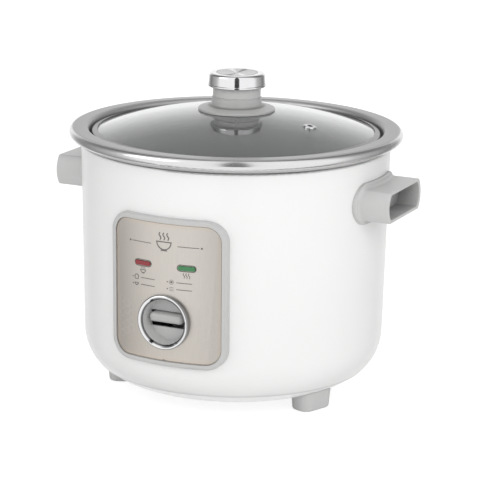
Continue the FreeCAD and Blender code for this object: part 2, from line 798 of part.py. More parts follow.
def make_plate():
    body = new_body("heating_plate")
    edge = size.plate_edge_round
    slope = size.heater_slope
    heater_low = web_low - size.heater_drop
    spin(body, [
        (size.plate_hole, web_low), (size.heater_inner, web_low), (size.heater_inner + slope, heater_low),
        (size.heater_outer - slope, heater_low), (size.heater_outer, web_low),
        (plate_radius - size.plate_draft, web_low),
        (plate_radius, size.plate_top - edge, edge, 1), (plate_radius - edge, size.plate_top),
        (size.plate_hole, size.plate_top)])
    spots = [(post_x(turn), post_y(turn), size.screw_radius + size.fit_gap) for turn in post_turns]
    ear = size.stirrup_half + size.stirrup_ear / 2
    spots += [(ear * side, 0, size.screw_radius + size.fit_gap) for side in (-1, 1)]
    pocket(body, "XY_Plane", size.plate_top - size.blind_cover, (), spots, back=True)
    posts = []
    screws = []
    for index, turn in enumerate(post_turns):
        tube = cylinder(
            f"Post{index}", size.post_radius, web_low - floor_top, post_x(turn), post_y(turn), floor_top)
        bore = cylinder(
            f"PostBore{index}", size.screw_radius + size.fit_gap, size.plate_top,
            post_x(turn), post_y(turn), 0)
        posts.append(cut_away(f"PostTube{index}", tube, bore))
        length = size.plate_top - size.plate_screw_stop - floor_low
        screws.append(screw(f"PostScrew{index}", length, post_x(turn), post_y(turn), floor_low, "up"))
    keep(group("Posts", posts), "plate_posts")
    keep(group("PostScrews", screws), "post_screws")
    middle = (size.heater_inner + size.heater_outer) / 2
    bushes = []
    pins = []
    for side in (-1, 1):
        x = middle * sine(size.terminal_angle) * side
        y = middle * cosine(size.terminal_angle)
        low = heater_low - size.bush_length
        tube = cylinder(f"Bush{side}", size.bush_radius, size.bush_length, x, y, low)
        bore = cylinder(f"BushBore{side}", size.terminal_radius + size.skin_gap, heater_low, x, y, 0)
        bushes.append(cut_away(f"BushTube{side}", tube, bore))
        pins.append(cylinder(
            f"Terminal{side}", size.terminal_radius, size.terminal_length, x, y,
            heater_low - size.terminal_length))
    keep(group("Bushes", bushes), "terminal_bushes")
    keep(group("Terminals", pins), "heater_terminals")


# Temperature sensor: a sprung cap under the pot with a magnet that lets go when the rice is dry

rear_lift = size.pivot_back * sine(size.lever_angle)
cap_inside = size.plate_top - size.cap_top_wall
ferrite_low = cap_inside - size.ferrite_wall
magnet_top = ferrite_low - rear_lift - size.seat_gap
carrier_top = magnet_top - size.magnet_wall
carrier_low = carrier_top - size.carrier_wall
guide_top = carrier_low - size.seat_gap
guide_low = guide_top - size.guide_wall
stirrup_top = guide_low - size.sensor_spring_length
stirrup_low = stirrup_top - size.stirrup_wall
collar_top = stirrup_low - rear_lift - size.fit_gap * 2
collar_low = collar_top - size.collar_wall
lever_top = collar_low - size.press_travel - size.seat_gap - size.collar_radius * sine(size.lever_angle)
pivot_level = lever_top - size.lever_wall / 2
rod_low = lever_top - size.lever_wall - size.press_travel - size.rod_tail


def make_coil(label, mean, wire, low, high):
    """A coil spring of eight-sided wire."""
    body = new_body(label)
    corners = [(mean + wire * cosine(turn), low + wire + wire * sine(turn)) for turn in range(0, 360, 45)]
    sketch = sketch_of(body, "XZ_Plane", [corners], (), None)
    coil = body.newObject("PartDesign::AdditiveHelix", "Coil")
    coil.Profile = sketch
    coil.ReferenceAxis = (sketch, ["V_Axis"])
    coil.Mode = "height-turns-angle"
    bind(coil, "Height", high - low - wire * 2)
    bind(coil, "Turns", size.coil_turns)
    doc.recompute()


def make_sensor():
    cap = new_body("sensor_cap")
    edge = size.sensor_edge
    inside = size.sensor_radius - size.sensor_wall
    spin(cap, [
        (0, cap_inside), (inside, cap_inside), (inside, guide_low), (size.sensor_radius, guide_low),
        (size.sensor_radius, size.plate_top - edge, edge, 1), (size.sensor_radius - edge, size.plate_top),
        (0, size.plate_top)])
    guide = new_body("sensor_guide")
    spin(guide, [
        (size.rod_radius + size.seat_gap, guide_low), (inside - size.skin_gap, guide_low),
        (inside - size.skin_gap, guide_top), (size.rod_radius + size.seat_gap, guide_top)])
    keep(cylinder("Ferrite", size.ferrite_radius, size.ferrite_wall, z=ferrite_low), "sensor_ferrite")
    magnet = cylinder("Magnet", size.ferrite_radius, size.magnet_wall, z=carrier_top)
    keep(magnet, "release_magnet")
    rod = new_body("magnet_rod")
    spin(rod, [
        (0, rod_low), (size.rod_radius, rod_low), (size.rod_radius, carrier_low),
        (size.carrier_radius, carrier_low), (size.carrier_radius, carrier_top), (0, carrier_top)])
    collar = new_body("rod_collar")
    spin(collar, plain_box(size.rod_radius + size.press_gap, size.collar_radius, collar_low, collar_top))
    make_coil("sensor_spring", size.sensor_coil, size.sensor_wire, stirrup_top, guide_low)
    make_coil("magnet_spring", size.magnet_coil, size.magnet_wire, carrier_top, cap_inside)


def make_stirrup():
    body = new_body("sensor_stirrup")
    half = size.stirrup_half
    wall = size.stirrup_wall
    ear = half + size.stirrup_ear
    strip = [
        (-ear, web_low - wall), (-half, web_low - wall), (-half, stirrup_low), (half, stirrup_low),
        (half, web_low - wall), (ear, web_low - wall), (ear, web_low), (half - wall, web_low),
        (half - wall, stirrup_top), (wall - half, stirrup_top), (wall - half, web_low), (-ear, web_low)]
    pad(body, "XZ_Plane", size.stirrup_depth * 2, [strip], middle=True)
    middle = half + size.stirrup_ear / 2
    spots = [(middle * side, 0, size.screw_radius + size.fit_gap) for side in (-1, 1)]
    pocket(body, "XY_Plane", size.plate_top, (), spots + [(0, 0, size.stirrup_hole)], back=True)
    screws = [
        screw(
            f"StirrupScrew{side}", size.plate_wall - size.plate_screw_stop,
            middle * side, as_size(0), web_low - wall, "up")
        for side in (-1, 1)]
    keep(group("StirrupScrews", screws), "stirrup_screws")


# Switch lever, its bracket and the electric switch

paddle_high = size.slot_high - size.paddle_gap
paddle_low = paddle_high - size.paddle_height
paddle_level = (paddle_high + paddle_low) / 2
paddle_front = dish_floor + size.paddle_stand
lever_rise = dish_floor - size.lever_set_back
pivot_y = -size.pivot_back


def make_lever():
    body = new_body("lever_arm")
    wall = size.lever_wall
    low = lever_top - wall
    rise = -lever_rise
    end = paddle_high - size.lever_end_drop
    strip = [
        (size.fork_tail, low), (size.fork_tail, lever_top), (rise + wall, lever_top), (rise + wall, end),
        (rise, end), (rise, low)]
    pad(body, "YZ_Plane", size.lever_half * 2, [strip], middle=True)
    knuckle = (pivot_y, pivot_level, size.knuckle_radius)
    pad(body, "YZ_Plane", size.lever_half * 2, (), [knuckle], middle=True)
    bore = (pivot_y, pivot_level, size.pin_radius + size.skin_gap)
    pocket(body, "YZ_Plane", far_out, (), [bore])
    pocket(body, "YZ_Plane", far_out, (), [bore], back=True)
    slot = plain_box(-size.fork_half, size.fork_half, -size.fork_half, size.fork_tail * 2)
    pocket(body, "XY_Plane", far_out, [slot], back=True)


def make_paddle():
    body = new_body("lever_paddle")
    pad(body, "XZ_Plane", paddle_front, [rounded_box(
        size.paddle_half, paddle_low, paddle_high, size.paddle_round)])
    behind = plain_box(-size.dish_radius, size.dish_radius, size.slot_low, size.slot_high)
    pocket(body, "XZ_Plane", dish_floor - size.paddle_tail, [behind], back=True)

    def at_front(edge):
        return edge.BoundBox.YMax < close_by - paddle_front.value

    round_edges(body, size.paddle_edge_round, at_front)
    half = size.stem_height / 2
    stem = rounded_box(size.stem_half, paddle_level - half, paddle_level + half, size.stem_round)
    root_of_stem = lever_rise + size.press_gap
    pad(body, "XZ_Plane", dish_floor - root_of_stem, [stem], start=root_of_stem)


def make_bracket():
    body = new_body("lever_bracket")
    half = size.bracket_half
    wall = size.bracket_wall
    ear_top = pivot_level + size.ear_margin
    shelf = switch_low - wall
    foot_back = -size.floor_hole_radius
    front = -size.bracket_front
    rear = -size.bracket_rear
    ear = [
        (front, floor_top), (foot_back, floor_top), (rear, shelf), (rear, switch_low + size.ear_rear),
        (pivot_y + size.ear_margin, ear_top), (pivot_y - size.ear_margin, ear_top),
        (front, floor_top + size.ear_front)]
    pad(body, "YZ_Plane", (half + wall) * 2, [ear], middle=True)
    gap = plain_box(-half, half, switch_low, far_out)
    pocket(body, "XZ_Plane", far_out, [gap], back=True)
    under = plain_box(-half, half, floor_top + wall, shelf)
    pocket(body, "XZ_Plane", far_out, [under], back=True)
    foot = plain_box(-size.bracket_foot, size.bracket_foot, front, foot_back)
    pad(body, "XY_Plane", wall, [foot], start=floor_top)
    bore = (pivot_y, pivot_level, size.pin_radius + size.press_gap)
    pocket(body, "YZ_Plane", far_out, (), [bore])
    pocket(body, "YZ_Plane", far_out, (), [bore], back=True)
    spots = [(bracket_screw_x * side, bracket_screw_y, size.screw_radius + size.fit_gap) for side in (-1, 1)]
    pocket(body, "XY_Plane", floor_top + wall, (), spots, back=True)
    reach = half + wall + size.pin_overhang
    pin = cylinder("Pin", size.pin_radius, reach * 2, -reach, pivot_y, pivot_level, "right")
    keep(pin, "pivot_pin")
    clips = []
    for side in (-1, 1):
        x = (half + wall + size.clip_gap) * side - (size.clip_wall if side < 0 else 0)
        disc = cylinder(f"Clip{side}", size.clip_radius, size.clip_wall, x, pivot_y, pivot_level, "right")
        bore = cylinder(
            f"ClipBore{side}", size.pin_radius + size.press_gap, reach * 2,
            -reach, pivot_y, pivot_level, "right")
        clips.append(cut_away(f"ClipRing{side}", disc, bore))
    keep(group("Clips", clips), "pin_clips")
    screws = [
        screw(f"BracketScrew{side}", wall + size.shell_wall + size.screw_tip, bracket_screw_x * side,
              bracket_screw_y, floor_top + wall, "down") for side in (-1, 1)]
    keep(group("BracketScrews", screws), "bracket_screws")


button_top = lever_top - size.lever_wall - size.skin_gap
switch_top = button_top - size.button_rise
switch_low = switch_top - size.switch_height
button_y = pivot_y + size.button_arm


def make_switch():
    case = new_body("switch_case")
    back = size.switch_length / 2
    side_view = plain_box(button_y - back, button_y + back, switch_low, switch_top)
    pad(case, "YZ_Plane", size.switch_half * 2, [side_view], middle=True)
    well = size.button_half + size.seat_gap
    mouth = plain_box(-well, well, button_y - well, button_y + well)
    pocket(case, "XY_Plane", size.button_rise + size.button_depth, [mouth], start=switch_top)
    button = new_body("switch_button")
    half = size.button_half
    slab = plain_box(button_y - half, button_y + half, switch_top - size.button_depth, button_top)
    pad(button, "YZ_Plane", half * 2, [slab], middle=True)


def make_safety_parts():
    low = web_low - size.thermostat_height
    can = cylinder("Can", size.thermostat_radius, size.thermostat_height, 0, size.thermostat_place, low)
    tabs = [
        block(f"Tab{side}", size.tab_width, size.tab_wall, size.tab_length,
              size.tab_spread * side - size.tab_width / 2, size.thermostat_place,
              low - size.tab_length + size.tab_root)
        for side in (-1, 1)]
    keep(join("Thermostat", [can] + tabs), "keep_warm_thermostat")
    level = web_low - size.strap_wall - size.fuse_radius
    tube = cylinder(
        "Fuse", size.fuse_radius, size.fuse_length,
        -(size.fuse_length / 2), -size.fuse_place, level, "right")
    keep(tube, "thermal_fuse")
    outer = size.fuse_radius + size.strap_wall + size.skin_gap
    side = -(size.strap_width / 2)
    saddle = cylinder("Saddle", outer, size.strap_width, side, -size.fuse_place, level, "right")
    front = -(size.fuse_place + size.strap_reach)
    wings = block(
        "Wings", size.strap_width, size.strap_reach * 2, size.strap_wall,
        side, front, web_low - size.strap_wall)
    hollow = cylinder(
        "SaddleBore", size.fuse_radius + size.skin_gap, size.fuse_length, -(size.fuse_length / 2),
        -size.fuse_place, level, "right")
    strap = cut_away("Strap", join("StrapBlank", [saddle, wings]), hollow)
    top = block("AbovePlate", size.strap_width, size.strap_reach * 2, size.plate_wall, side, front, web_low)
    keep(cut_away("StrapTrim", strap, top), "fuse_strap")


# Power inlet at the back; its outlines are drawn on the upright plane and run back along +Y

def make_inlet():
    body = new_body("power_inlet")
    level = size.inlet_level
    flange = rounded_box(size.inlet_half, level - size.inlet_rise, level + size.inlet_rise, size.inlet_round)
    pad(body, "XZ_Plane", blank_reach, [flange], back=True)
    trim_inside(body, size.skin_gap)
    rise = size.socket_rise + size.socket_wall
    box = rounded_box(size.socket_half + size.socket_wall, level - rise, level + rise, size.socket_round)
    pad(body, "XZ_Plane", lean_radius(level), [box], back=True)
    face = lean_radius(level) + size.inlet_proud
    behind = face - size.socket_depth - size.socket_wall
    keep_out = plain_box(-far_out, far_out, as_size(0), size.shell_top)
    pocket(body, "XZ_Plane", behind, [keep_out])
    pocket(body, "XZ_Plane", far_out - face, [keep_out], start=-face)
    hollow = rounded_box(
        size.socket_half, level - size.socket_rise, level + size.socket_rise,
        size.socket_round - size.socket_wall / 2)
    pocket(body, "XZ_Plane", far_out, [hollow], start=-(face - size.socket_depth))
    spots = [
        (size.inlet_screw_spread * side, level, size.screw_radius + size.fit_gap) for side in (-1, 1)]
    gap = size.skin_gap
    prongs = [
        plain_box(x - size.prong_half - gap, x + size.prong_half + gap,
                  level + z - size.prong_rise - gap, level + z + size.prong_rise + gap)
        for x, z in prong_places()]
    pocket(body, "XZ_Plane", far_out, prongs, spots)
    blades = []
    for index, (x, z) in enumerate(prong_places()):
        y = behind - size.prong_tail
        blades.append(block(
            f"Blade{index}", size.prong_half * 2, face - size.prong_short - y, size.prong_rise * 2,
            x - size.prong_half, y, level + z - size.prong_rise))
    keep(group("Blades", blades), "inlet_prongs")
    screws = [
        screw(f"InletScrew{side}", size.inlet_proud + size.inlet_screw_grip, size.inlet_screw_spread * side,
              face, level, "front") for side in (-1, 1)]
    keep(group("InletScrews", screws), "inlet_screws")


def prong_places():
    spread = size.prong_spread
    return ((-spread, -size.prong_drop), (as_size(0), size.prong_lift), (spread, -size.prong_drop))


# Inner pot with its rolled rim

def make_pot():
    body = new_body("inner_pot")
    wall = size.pot_wall
    inner_radius = pot_radius - wall
    inner_corner = size.pot_corner - wall
    bead = size.bead_radius
    bead_middle = rim_radius - bead
    bead_level = rim_top - bead
    curl = bead - wall
    turn = size.skirt_angle
    down_x = sine(turn) * size.skirt_length
    down_z = cosine(turn) * size.skirt_length
    outer_x = bead_middle + bead * cosine(turn)
    outer_z = bead_level - bead * sine(turn)
    inner_x = bead_middle + curl * cosine(turn)
    inner_z = bead_level - curl * sine(turn)
    wide = recess_radius + wall
    edge = size.flange_round
    spin(body, [
        (0, pot_low), (pot_radius - size.pot_corner, pot_low, size.pot_corner, 1),
        (pot_radius, pot_low + size.pot_corner), (pot_radius, shelf_low), (wide, shelf_low),
        (wide, rim_top - wall - edge, edge, -1), (wide + edge, rim_top - wall),
        (bead_middle, rim_top - wall, curl, -1), (inner_x, inner_z), (inner_x - down_x, inner_z - down_z),
        (outer_x - down_x, outer_z - down_z), (outer_x, outer_z, bead, 1), (bead_middle, rim_top),
        (recess_radius + edge + wall, rim_top, edge + wall, 1),
        (recess_radius, rim_top - edge - wall), (recess_radius, shelf_top),
        (inner_radius, shelf_top), (inner_radius, pot_low + size.pot_corner, inner_corner, -1),
        (inner_radius - inner_corner, pot_low + wall), (0, pot_low + wall)])


# Glass lid, its steel band, the steam eyelet and the knob

lid_radius = recess_radius - size.lid_gap
band_low = shelf_top + size.seat_gap
band_top = band_low + size.band_height
glass_radius = lid_radius - size.band_wall - size.skin_gap
glass_edge = band_top - size.band_wall
dome_top = glass_edge + size.dome_height
dome_radius = (glass_radius * glass_radius + size.dome_height * size.dome_height) / (size.dome_height * 2)
dome_middle = dome_top - dome_radius


def dome_level(radius):
    """The level of the glass's outer face at a radius from the axis."""
    radius = as_size(radius)
    return dome_middle + root(dome_radius * dome_radius - radius * radius)


steam_sine = size.steam_radius / dome_radius
steam_cosine = root(1 - steam_sine * steam_sine)


def steam_point(out, aside):
    """A point beside the steam hole's axis: out from the glass face, and aside from the axis."""
    reach = dome_radius + out
    return (
        reach * steam_sine + aside * steam_cosine,
        dome_middle + reach * steam_cosine - aside * steam_sine)


def make_glass():
    body = new_body("lid_glass")
    hole = size.knob_hole_radius
    wall = size.glass_wall
    spin(body, [
        (hole, dome_level(hole) - wall, dome_radius, -1), (glass_radius, glass_edge - wall),
        (glass_radius, glass_edge, dome_radius, 1), (hole, dome_level(hole))])
    bore = size.steam_neck + size.skin_gap
    axis = (steam_point(-(wall * 2), as_size(0)), steam_point(wall, as_size(0)))
    spin(body, [
        steam_point(-(wall * 2), as_size(0)), steam_point(-(wall * 2), bore), steam_point(wall, bore),
        steam_point(wall, as_size(0))], cuts=True, axis=axis)
    set_place(body, turn=-size.steam_turn)


def make_band():
    body = new_body("lid_band")
    gap = size.skin_gap
    wall = size.band_wall
    lip = lid_radius - size.band_lip
    inner = lid_radius - wall
    under = glass_edge - size.glass_wall - gap
    lip_under = dome_level(lip) - size.glass_wall - gap
    spin(body, [
        (inner, band_low), (lid_radius, band_low), (lid_radius, band_top - wall, wall, 1),
        (lid_radius - wall, band_top + gap),
        (lip, dome_level(lip) + wall + gap), (lip, dome_level(lip) + gap),
        (inner, glass_edge + gap), (inner, under), (lip, lip_under), (lip, lip_under - wall),
        (inner, under - wall)])


def make_eyelet():
    body = new_body("steam_eyelet")
    wall = size.glass_wall
    axis = (steam_point(-wall * 2, as_size(0)), steam_point(wall, as_size(0)))
    top = size.steam_flange_wall + size.skin_gap
    tail = wall + size.steam_tail
    bevel = size.steam_bevel
    spin(body, [
        steam_point(-tail, size.steam_bore), steam_point(-tail, size.steam_neck),
        steam_point(size.skin_gap, size.steam_neck), steam_point(size.skin_gap, size.steam_flange),
        steam_point(top - bevel, size.steam_flange), steam_point(top, size.steam_flange - bevel),
        steam_point(top, size.steam_bore)], axis=axis)
    set_place(body, turn=-size.steam_turn)


def make_knob():
    base = new_body("knob_base")
    bore = size.screw_radius + size.fit_gap
    seat = dome_top + size.gasket_wall
    neck_top = dome_top + size.neck_top
    groove = dome_top + size.groove_level
    guard = size.guard_radius
    edge_low = dome_level(guard) + size.seat_gap
    edge_top = edge_low + size.guard_edge
    edge = size.guard_round
    sweep = size.neck_sweep
    sweep_low = edge_top + size.guard_rise
    spin(base, [
        (bore, seat), (size.gasket_radius, seat), (guard, edge_low), (guard, edge_top - edge, edge, 1),
        (guard - edge, edge_top), (size.neck_ring + sweep, sweep_low, sweep, -1),
        (size.neck_ring, sweep_low + sweep),
        (size.neck_ring - size.neck_draft, groove - size.groove_width / 2),
        (size.neck_radius - size.groove_depth, groove - size.groove_width / 2),
        (size.neck_radius - size.groove_depth, groove + size.groove_width / 2),
        (size.neck_radius, groove + size.groove_width / 2), (size.neck_radius, neck_top),
        (size.spigot_radius, neck_top), (size.spigot_radius, neck_top + size.spigot_height),
        (bore, neck_top + size.spigot_height)])
    cap = new_body("knob_cap")
    low = neck_top + size.skin_gap
    top = low + size.cap_height
    hollow = size.spigot_radius + size.fit_gap
    bend = size.cap_round
    chamfer = size.cap_chamfer
    step = size.cap_step
    shoulder = size.cap_radius - size.cap_lean
    spin(cap, [
        (hollow, low), (size.cap_radius - chamfer, low), (size.cap_radius, low + chamfer),
        (size.cap_radius, low + size.cap_lip), (size.cap_radius - step, low + size.cap_lip + step),
        (shoulder, top - bend, bend, 1), (shoulder - bend, top), (size.disc_radius + size.fit_gap, top),
        (size.disc_radius + size.fit_gap, top - size.disc_wall), (0, top - size.disc_wall),
        (0, low + size.spigot_height + size.fit_gap), (hollow, low + size.spigot_height + size.fit_gap)])
    disc = new_body("knob_disc")
    spin(disc, [
        (0, top - size.disc_wall), (size.disc_radius, top - size.disc_wall),
        (size.disc_radius, top - size.disc_lip), (size.disc_radius - size.disc_edge, top + size.disc_lip),
        (0, top - size.disc_dish)])
    gasket = new_body("knob_gasket")
    ring = size.gasket_radius - size.seat_gap
    spin(gasket, [
        (size.knob_hole_radius, dome_level(size.knob_hole_radius) + size.press_gap),
        (ring, dome_level(size.gasket_radius) + size.press_gap), (ring, seat),
        (size.knob_hole_radius, seat)])
    washer = new_body("knob_washer")
    under = dome_level(size.knob_hole_radius) - size.glass_wall - size.seat_gap
    rim = dome_level(size.washer_radius) - size.glass_wall - size.seat_gap
    spin(washer, [
        (bore, under - size.washer_wall), (size.washer_radius, under - size.washer_wall),
        (size.washer_radius, rim), (bore, under)])
    length = neck_top + size.spigot_height - size.knob_screw_stop - under + size.washer_wall
    keep(screw("KnobScrew", length, as_size(0), as_size(0), under - size.washer_wall, "up"), "knob_screw")


make_shell()
make_floor()
make_cover()
make_feet()
make_handle("handle_right", as_size(0))
make_handle("handle_left", as_size(180))
make_handle_screws()
make_panel_frame()
make_fascia()
make_dish()
make_switch_ring()
make_lights()
make_plate()
make_sensor()
make_stirrup()
make_lever()
make_paddle()
make_bracket()
make_switch()
make_safety_parts()
make_inlet()
make_pot()
make_glass()
make_band()
make_eyelet()
make_knob()

doc.recompute()
for item in doc.Objects:
    if "Invalid" in item.State or "Error" in item.State:
        raise RuntimeError(f"{item.Label} did not build: {item.State}")
os.makedirs("parts", exist_ok=True)
for node in nodes:
    if node.Shape.isNull() or not node.Shape.isValid():
        raise RuntimeError(f"{node.Label} has no sound shape")
    node.Shape.exportStep(f"parts/{node.Label}.step")
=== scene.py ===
import bpy
import json
import math
from mathutils import Matrix, Vector


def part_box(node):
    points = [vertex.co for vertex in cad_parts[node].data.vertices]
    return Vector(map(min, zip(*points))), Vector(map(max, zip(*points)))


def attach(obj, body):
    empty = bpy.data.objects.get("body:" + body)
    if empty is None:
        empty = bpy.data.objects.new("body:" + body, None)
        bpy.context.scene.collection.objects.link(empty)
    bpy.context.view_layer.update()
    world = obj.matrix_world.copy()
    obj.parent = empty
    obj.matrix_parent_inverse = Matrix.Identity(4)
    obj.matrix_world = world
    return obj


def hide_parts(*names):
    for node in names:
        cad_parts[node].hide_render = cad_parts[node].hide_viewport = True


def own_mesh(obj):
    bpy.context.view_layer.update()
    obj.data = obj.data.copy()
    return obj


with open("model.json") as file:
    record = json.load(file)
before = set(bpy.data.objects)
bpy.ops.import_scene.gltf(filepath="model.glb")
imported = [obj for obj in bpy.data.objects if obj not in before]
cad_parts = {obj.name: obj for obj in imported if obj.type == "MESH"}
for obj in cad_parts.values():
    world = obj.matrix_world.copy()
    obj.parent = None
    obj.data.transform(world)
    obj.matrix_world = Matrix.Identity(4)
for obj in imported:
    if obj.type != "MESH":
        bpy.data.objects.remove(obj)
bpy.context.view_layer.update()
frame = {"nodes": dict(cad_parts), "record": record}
nodes = frame["nodes"]
scene = bpy.context.scene
scene.view_settings.view_transform = "Standard"
print("frame loaded:", len(nodes), "nodes")


class Wire:  # a shader socket that can stand in a sum
    def __init__(self, paint, socket):
        self.paint = paint
        self.socket = socket

    def maths(self, operation, *others):
        return self.paint.maths(operation, self, *others)

    def __add__(self, other):
        return self.maths("ADD", other)

    def __sub__(self, other):
        return self.maths("SUBTRACT", other)

    def __rsub__(self, other):
        return self.paint.maths("SUBTRACT", other, self)

    def __mul__(self, other):
        return self.maths("MULTIPLY", other)

    def __truediv__(self, other):
        return self.maths("DIVIDE", other)

    __radd__ = __add__


class Paint:  # one material and the nodes that feed its shader
    def __init__(self, name, **constants):
        self.material = bpy.data.materials.new(name)
        self.material.use_nodes = True
        self.tree = self.material.node_tree
        self.shader = self.tree.nodes["Principled BSDF"]
        for socket, value in constants.items():
            self.shader.inputs[socket.replace("_", " ")].default_value = value

    def node(self, kind, settings, sockets, output=0):
        made = self.tree.nodes.new(kind)
        for key, value in settings.items():
            if key == "stops":
                ramp = made.color_ramp
                while len(ramp.elements) < len(value):
                    ramp.elements.new(1)
                for element, (place, colour) in zip(ramp.elements, value):
                    element.position = place
                    element.color = colour
            else:
                setattr(made, key, value)
        for key, value in sockets.items():
            if isinstance(value, Wire):
                self.tree.links.new(value.socket, made.inputs[key])
            else:
                made.inputs[key].default_value = value
        return Wire(self, made.outputs[output])

    def maths(self, operation, *values):
        return self.node("ShaderNodeMath", {"operation": operation}, dict(enumerate(values)))

    def feed(self, socket, wire):
        self.tree.links.new(wire.socket, self.shader.inputs[socket])

    def place(self):  # metres in the shared frame
        return self.node("ShaderNodeTexCoord", {}, {}, "Object")

    def along(self, axis):
        return self.node("ShaderNodeSeparateXYZ", {}, {"Vector": self.place()}, axis)

    def radius(self):  # distance from the upright axis
        x, y = self.along("X"), self.along("Y")
        return (x * x + y * y).maths("SQRT")

    def noise(self, scale, detail, stretch=(1, 1, 1)):
        where = self.node("ShaderNodeVectorMath", {"operation": "MULTIPLY"}, {0: self.place(), 1: stretch})
        return self.node("ShaderNodeTexNoise", {}, {"Vector": where, "Scale": scale, "Detail": detail})

    def rings(self, scale):  # fine turned rings about the upright axis
        where = self.node("ShaderNodeCombineXYZ", {}, {"X": self.radius(), "Y": self.along("Z")})
        return self.node("ShaderNodeTexNoise", {}, {"Vector": where, "Scale": scale, "Detail": 2})

    def mix(self, share, first, second, blend="MIX"):  # the node's colours are inputs 6 and 7, output 2
        settings = {"data_type": "RGBA", "blend_type": blend}
        return self.node("ShaderNodeMix", settings, {"Factor": share, 6: first, 7: second}, 2)

    def ramp(self, stops, share):
        return self.node("ShaderNodeValToRGB", {"stops": stops}, {"Fac": share})

    def step(self, value, low, high):  # 0 at low, 1 at high, smooth between
        sockets = {"Value": value, "From Min": low, "From Max": high}
        return self.node("ShaderNodeMapRange", {"interpolation_type": "SMOOTHSTEP"}, sockets)

    def bump(self, height, depth, strength):
        sockets = {"Height": height, "Distance": depth, "Strength": strength}
        self.feed("Normal", self.node("ShaderNodeBump", {}, sockets))


def tone(red, green=None, blue=None):
    return (red, red if green is None else green, red if blue is None else blue, 1)


enamel = {"light": tone(0.865, 0.865, 0.86), "deep": tone(0.835, 0.835, 0.83), "cloud": 9, "rough": 0.34,
          "roughShift": 0.08, "roughScale": 60, "coat": 0.16, "coatShift": 0.12, "coatRough": 0.12,
          "specular": 0.45, "peel": 520, "peelDepth": 0.00003, "peelStrength": 0.5}
# painted highlight: the base cover's enamel is a lighter copy of the drum's, as if its edge caught more
# light
litCoverEnamel = {"light": tone(0.95, 0.95, 0.945), "deep": tone(0.93, 0.93, 0.925)}
# painted shade for the line where the drum meets its cover
seamShade = {"tone": tone(0.66, 0.66, 0.655), "rise": 0.0032}


def whiteEnamel(name, light, deep, seamShadeLevel=None):
    paint = Paint(name, Coat_Roughness=enamel["coatRough"], Specular_IOR_Level=enamel["specular"])
    cloud = paint.noise(enamel["cloud"], 4)
    face = paint.mix(cloud, light, deep)
    if seamShadeLevel is not None:  # painted shade: a soft dark line at the drum's foot, where it meets its cover
        above = paint.step(paint.along("Z"), seamShadeLevel, seamShadeLevel + seamShade["rise"])
        face = paint.mix(above, seamShade["tone"], face)
    paint.feed("Base Color", face)
    paint.feed("Roughness", enamel["rough"] + paint.noise(enamel["roughScale"], 4) * enamel["roughShift"])
    paint.feed("Coat Weight", enamel["coat"] + cloud * enamel["coatShift"])
    paint.bump(paint.noise(enamel["peel"], 2), enamel["peelDepth"], enamel["peelStrength"])
    return paint.material


mould = {"cloud": 22, "cloudShare": 0.7, "speckFrom": 0.35, "speckTo": 0.75, "speckShare": 0.3,
         "specular": 0.42, "roughShift": 0.12, "grain": 2600, "grainDepth": 0.00004, "grainStrength": 0.55}


def moulding(name, light, dark, rough, grain=mould["grain"], depth=mould["grainDepth"], deep=None):
    paint = Paint(name, Specular_IOR_Level=mould["specular"])
    cloud = paint.noise(mould["cloud"], 3)
    pits = paint.noise(grain, 2)
    specks = paint.step(pits, mould["speckFrom"], mould["speckTo"])
    face = paint.mix(cloud * mould["cloudShare"] + specks * mould["speckShare"], light, dark)
    if deep:  # painted shade: darker down in its hollow, from ambient occlusion
        reach = {"Distance": deep["reach"]}
        occlusionShade = paint.node("ShaderNodeAmbientOcclusion", {"samples": deep["samples"]}, reach, "AO")
        face = paint.mix(paint.step(occlusionShade, deep["from"], deep["to"]), deep["tone"], face)
    paint.feed("Base Color", face)
    paint.feed("Roughness", rough + pits * mould["roughShift"])
    paint.bump(pits, depth, mould["grainStrength"])
    return paint.material


plateLook = {"middle": tone(0.61, 0.567, 0.515), "pale": tone(0.74, 0.7, 0.65),
             "dark": tone(0.4, 0.37, 0.335), "edge": tone(0.66, 0.575, 0.485), "edgeWidth": 0.005,
             "edgeShare": 0.6, "edgeDull": 0.16, "metal": 0.96, "rough": 0.3, "roughShift": 0.16,
             "anisotropic": 0.35, "brush": 5200, "brushStretch": (1, 1, 0.012), "brushShare": 0.3,
             "brushDepth": 0.00002, "brushStrength": 0.4}
# painted sheen: the plate goes from its middle tone to a pale tone towards the right and the top, as light
# falls on it
plateSheenSweep = {"start": 0.2, "across": 6, "up": 4, "cloud": 14, "cloudShare": 0.3, "from": -0.25, "to": 0.75}


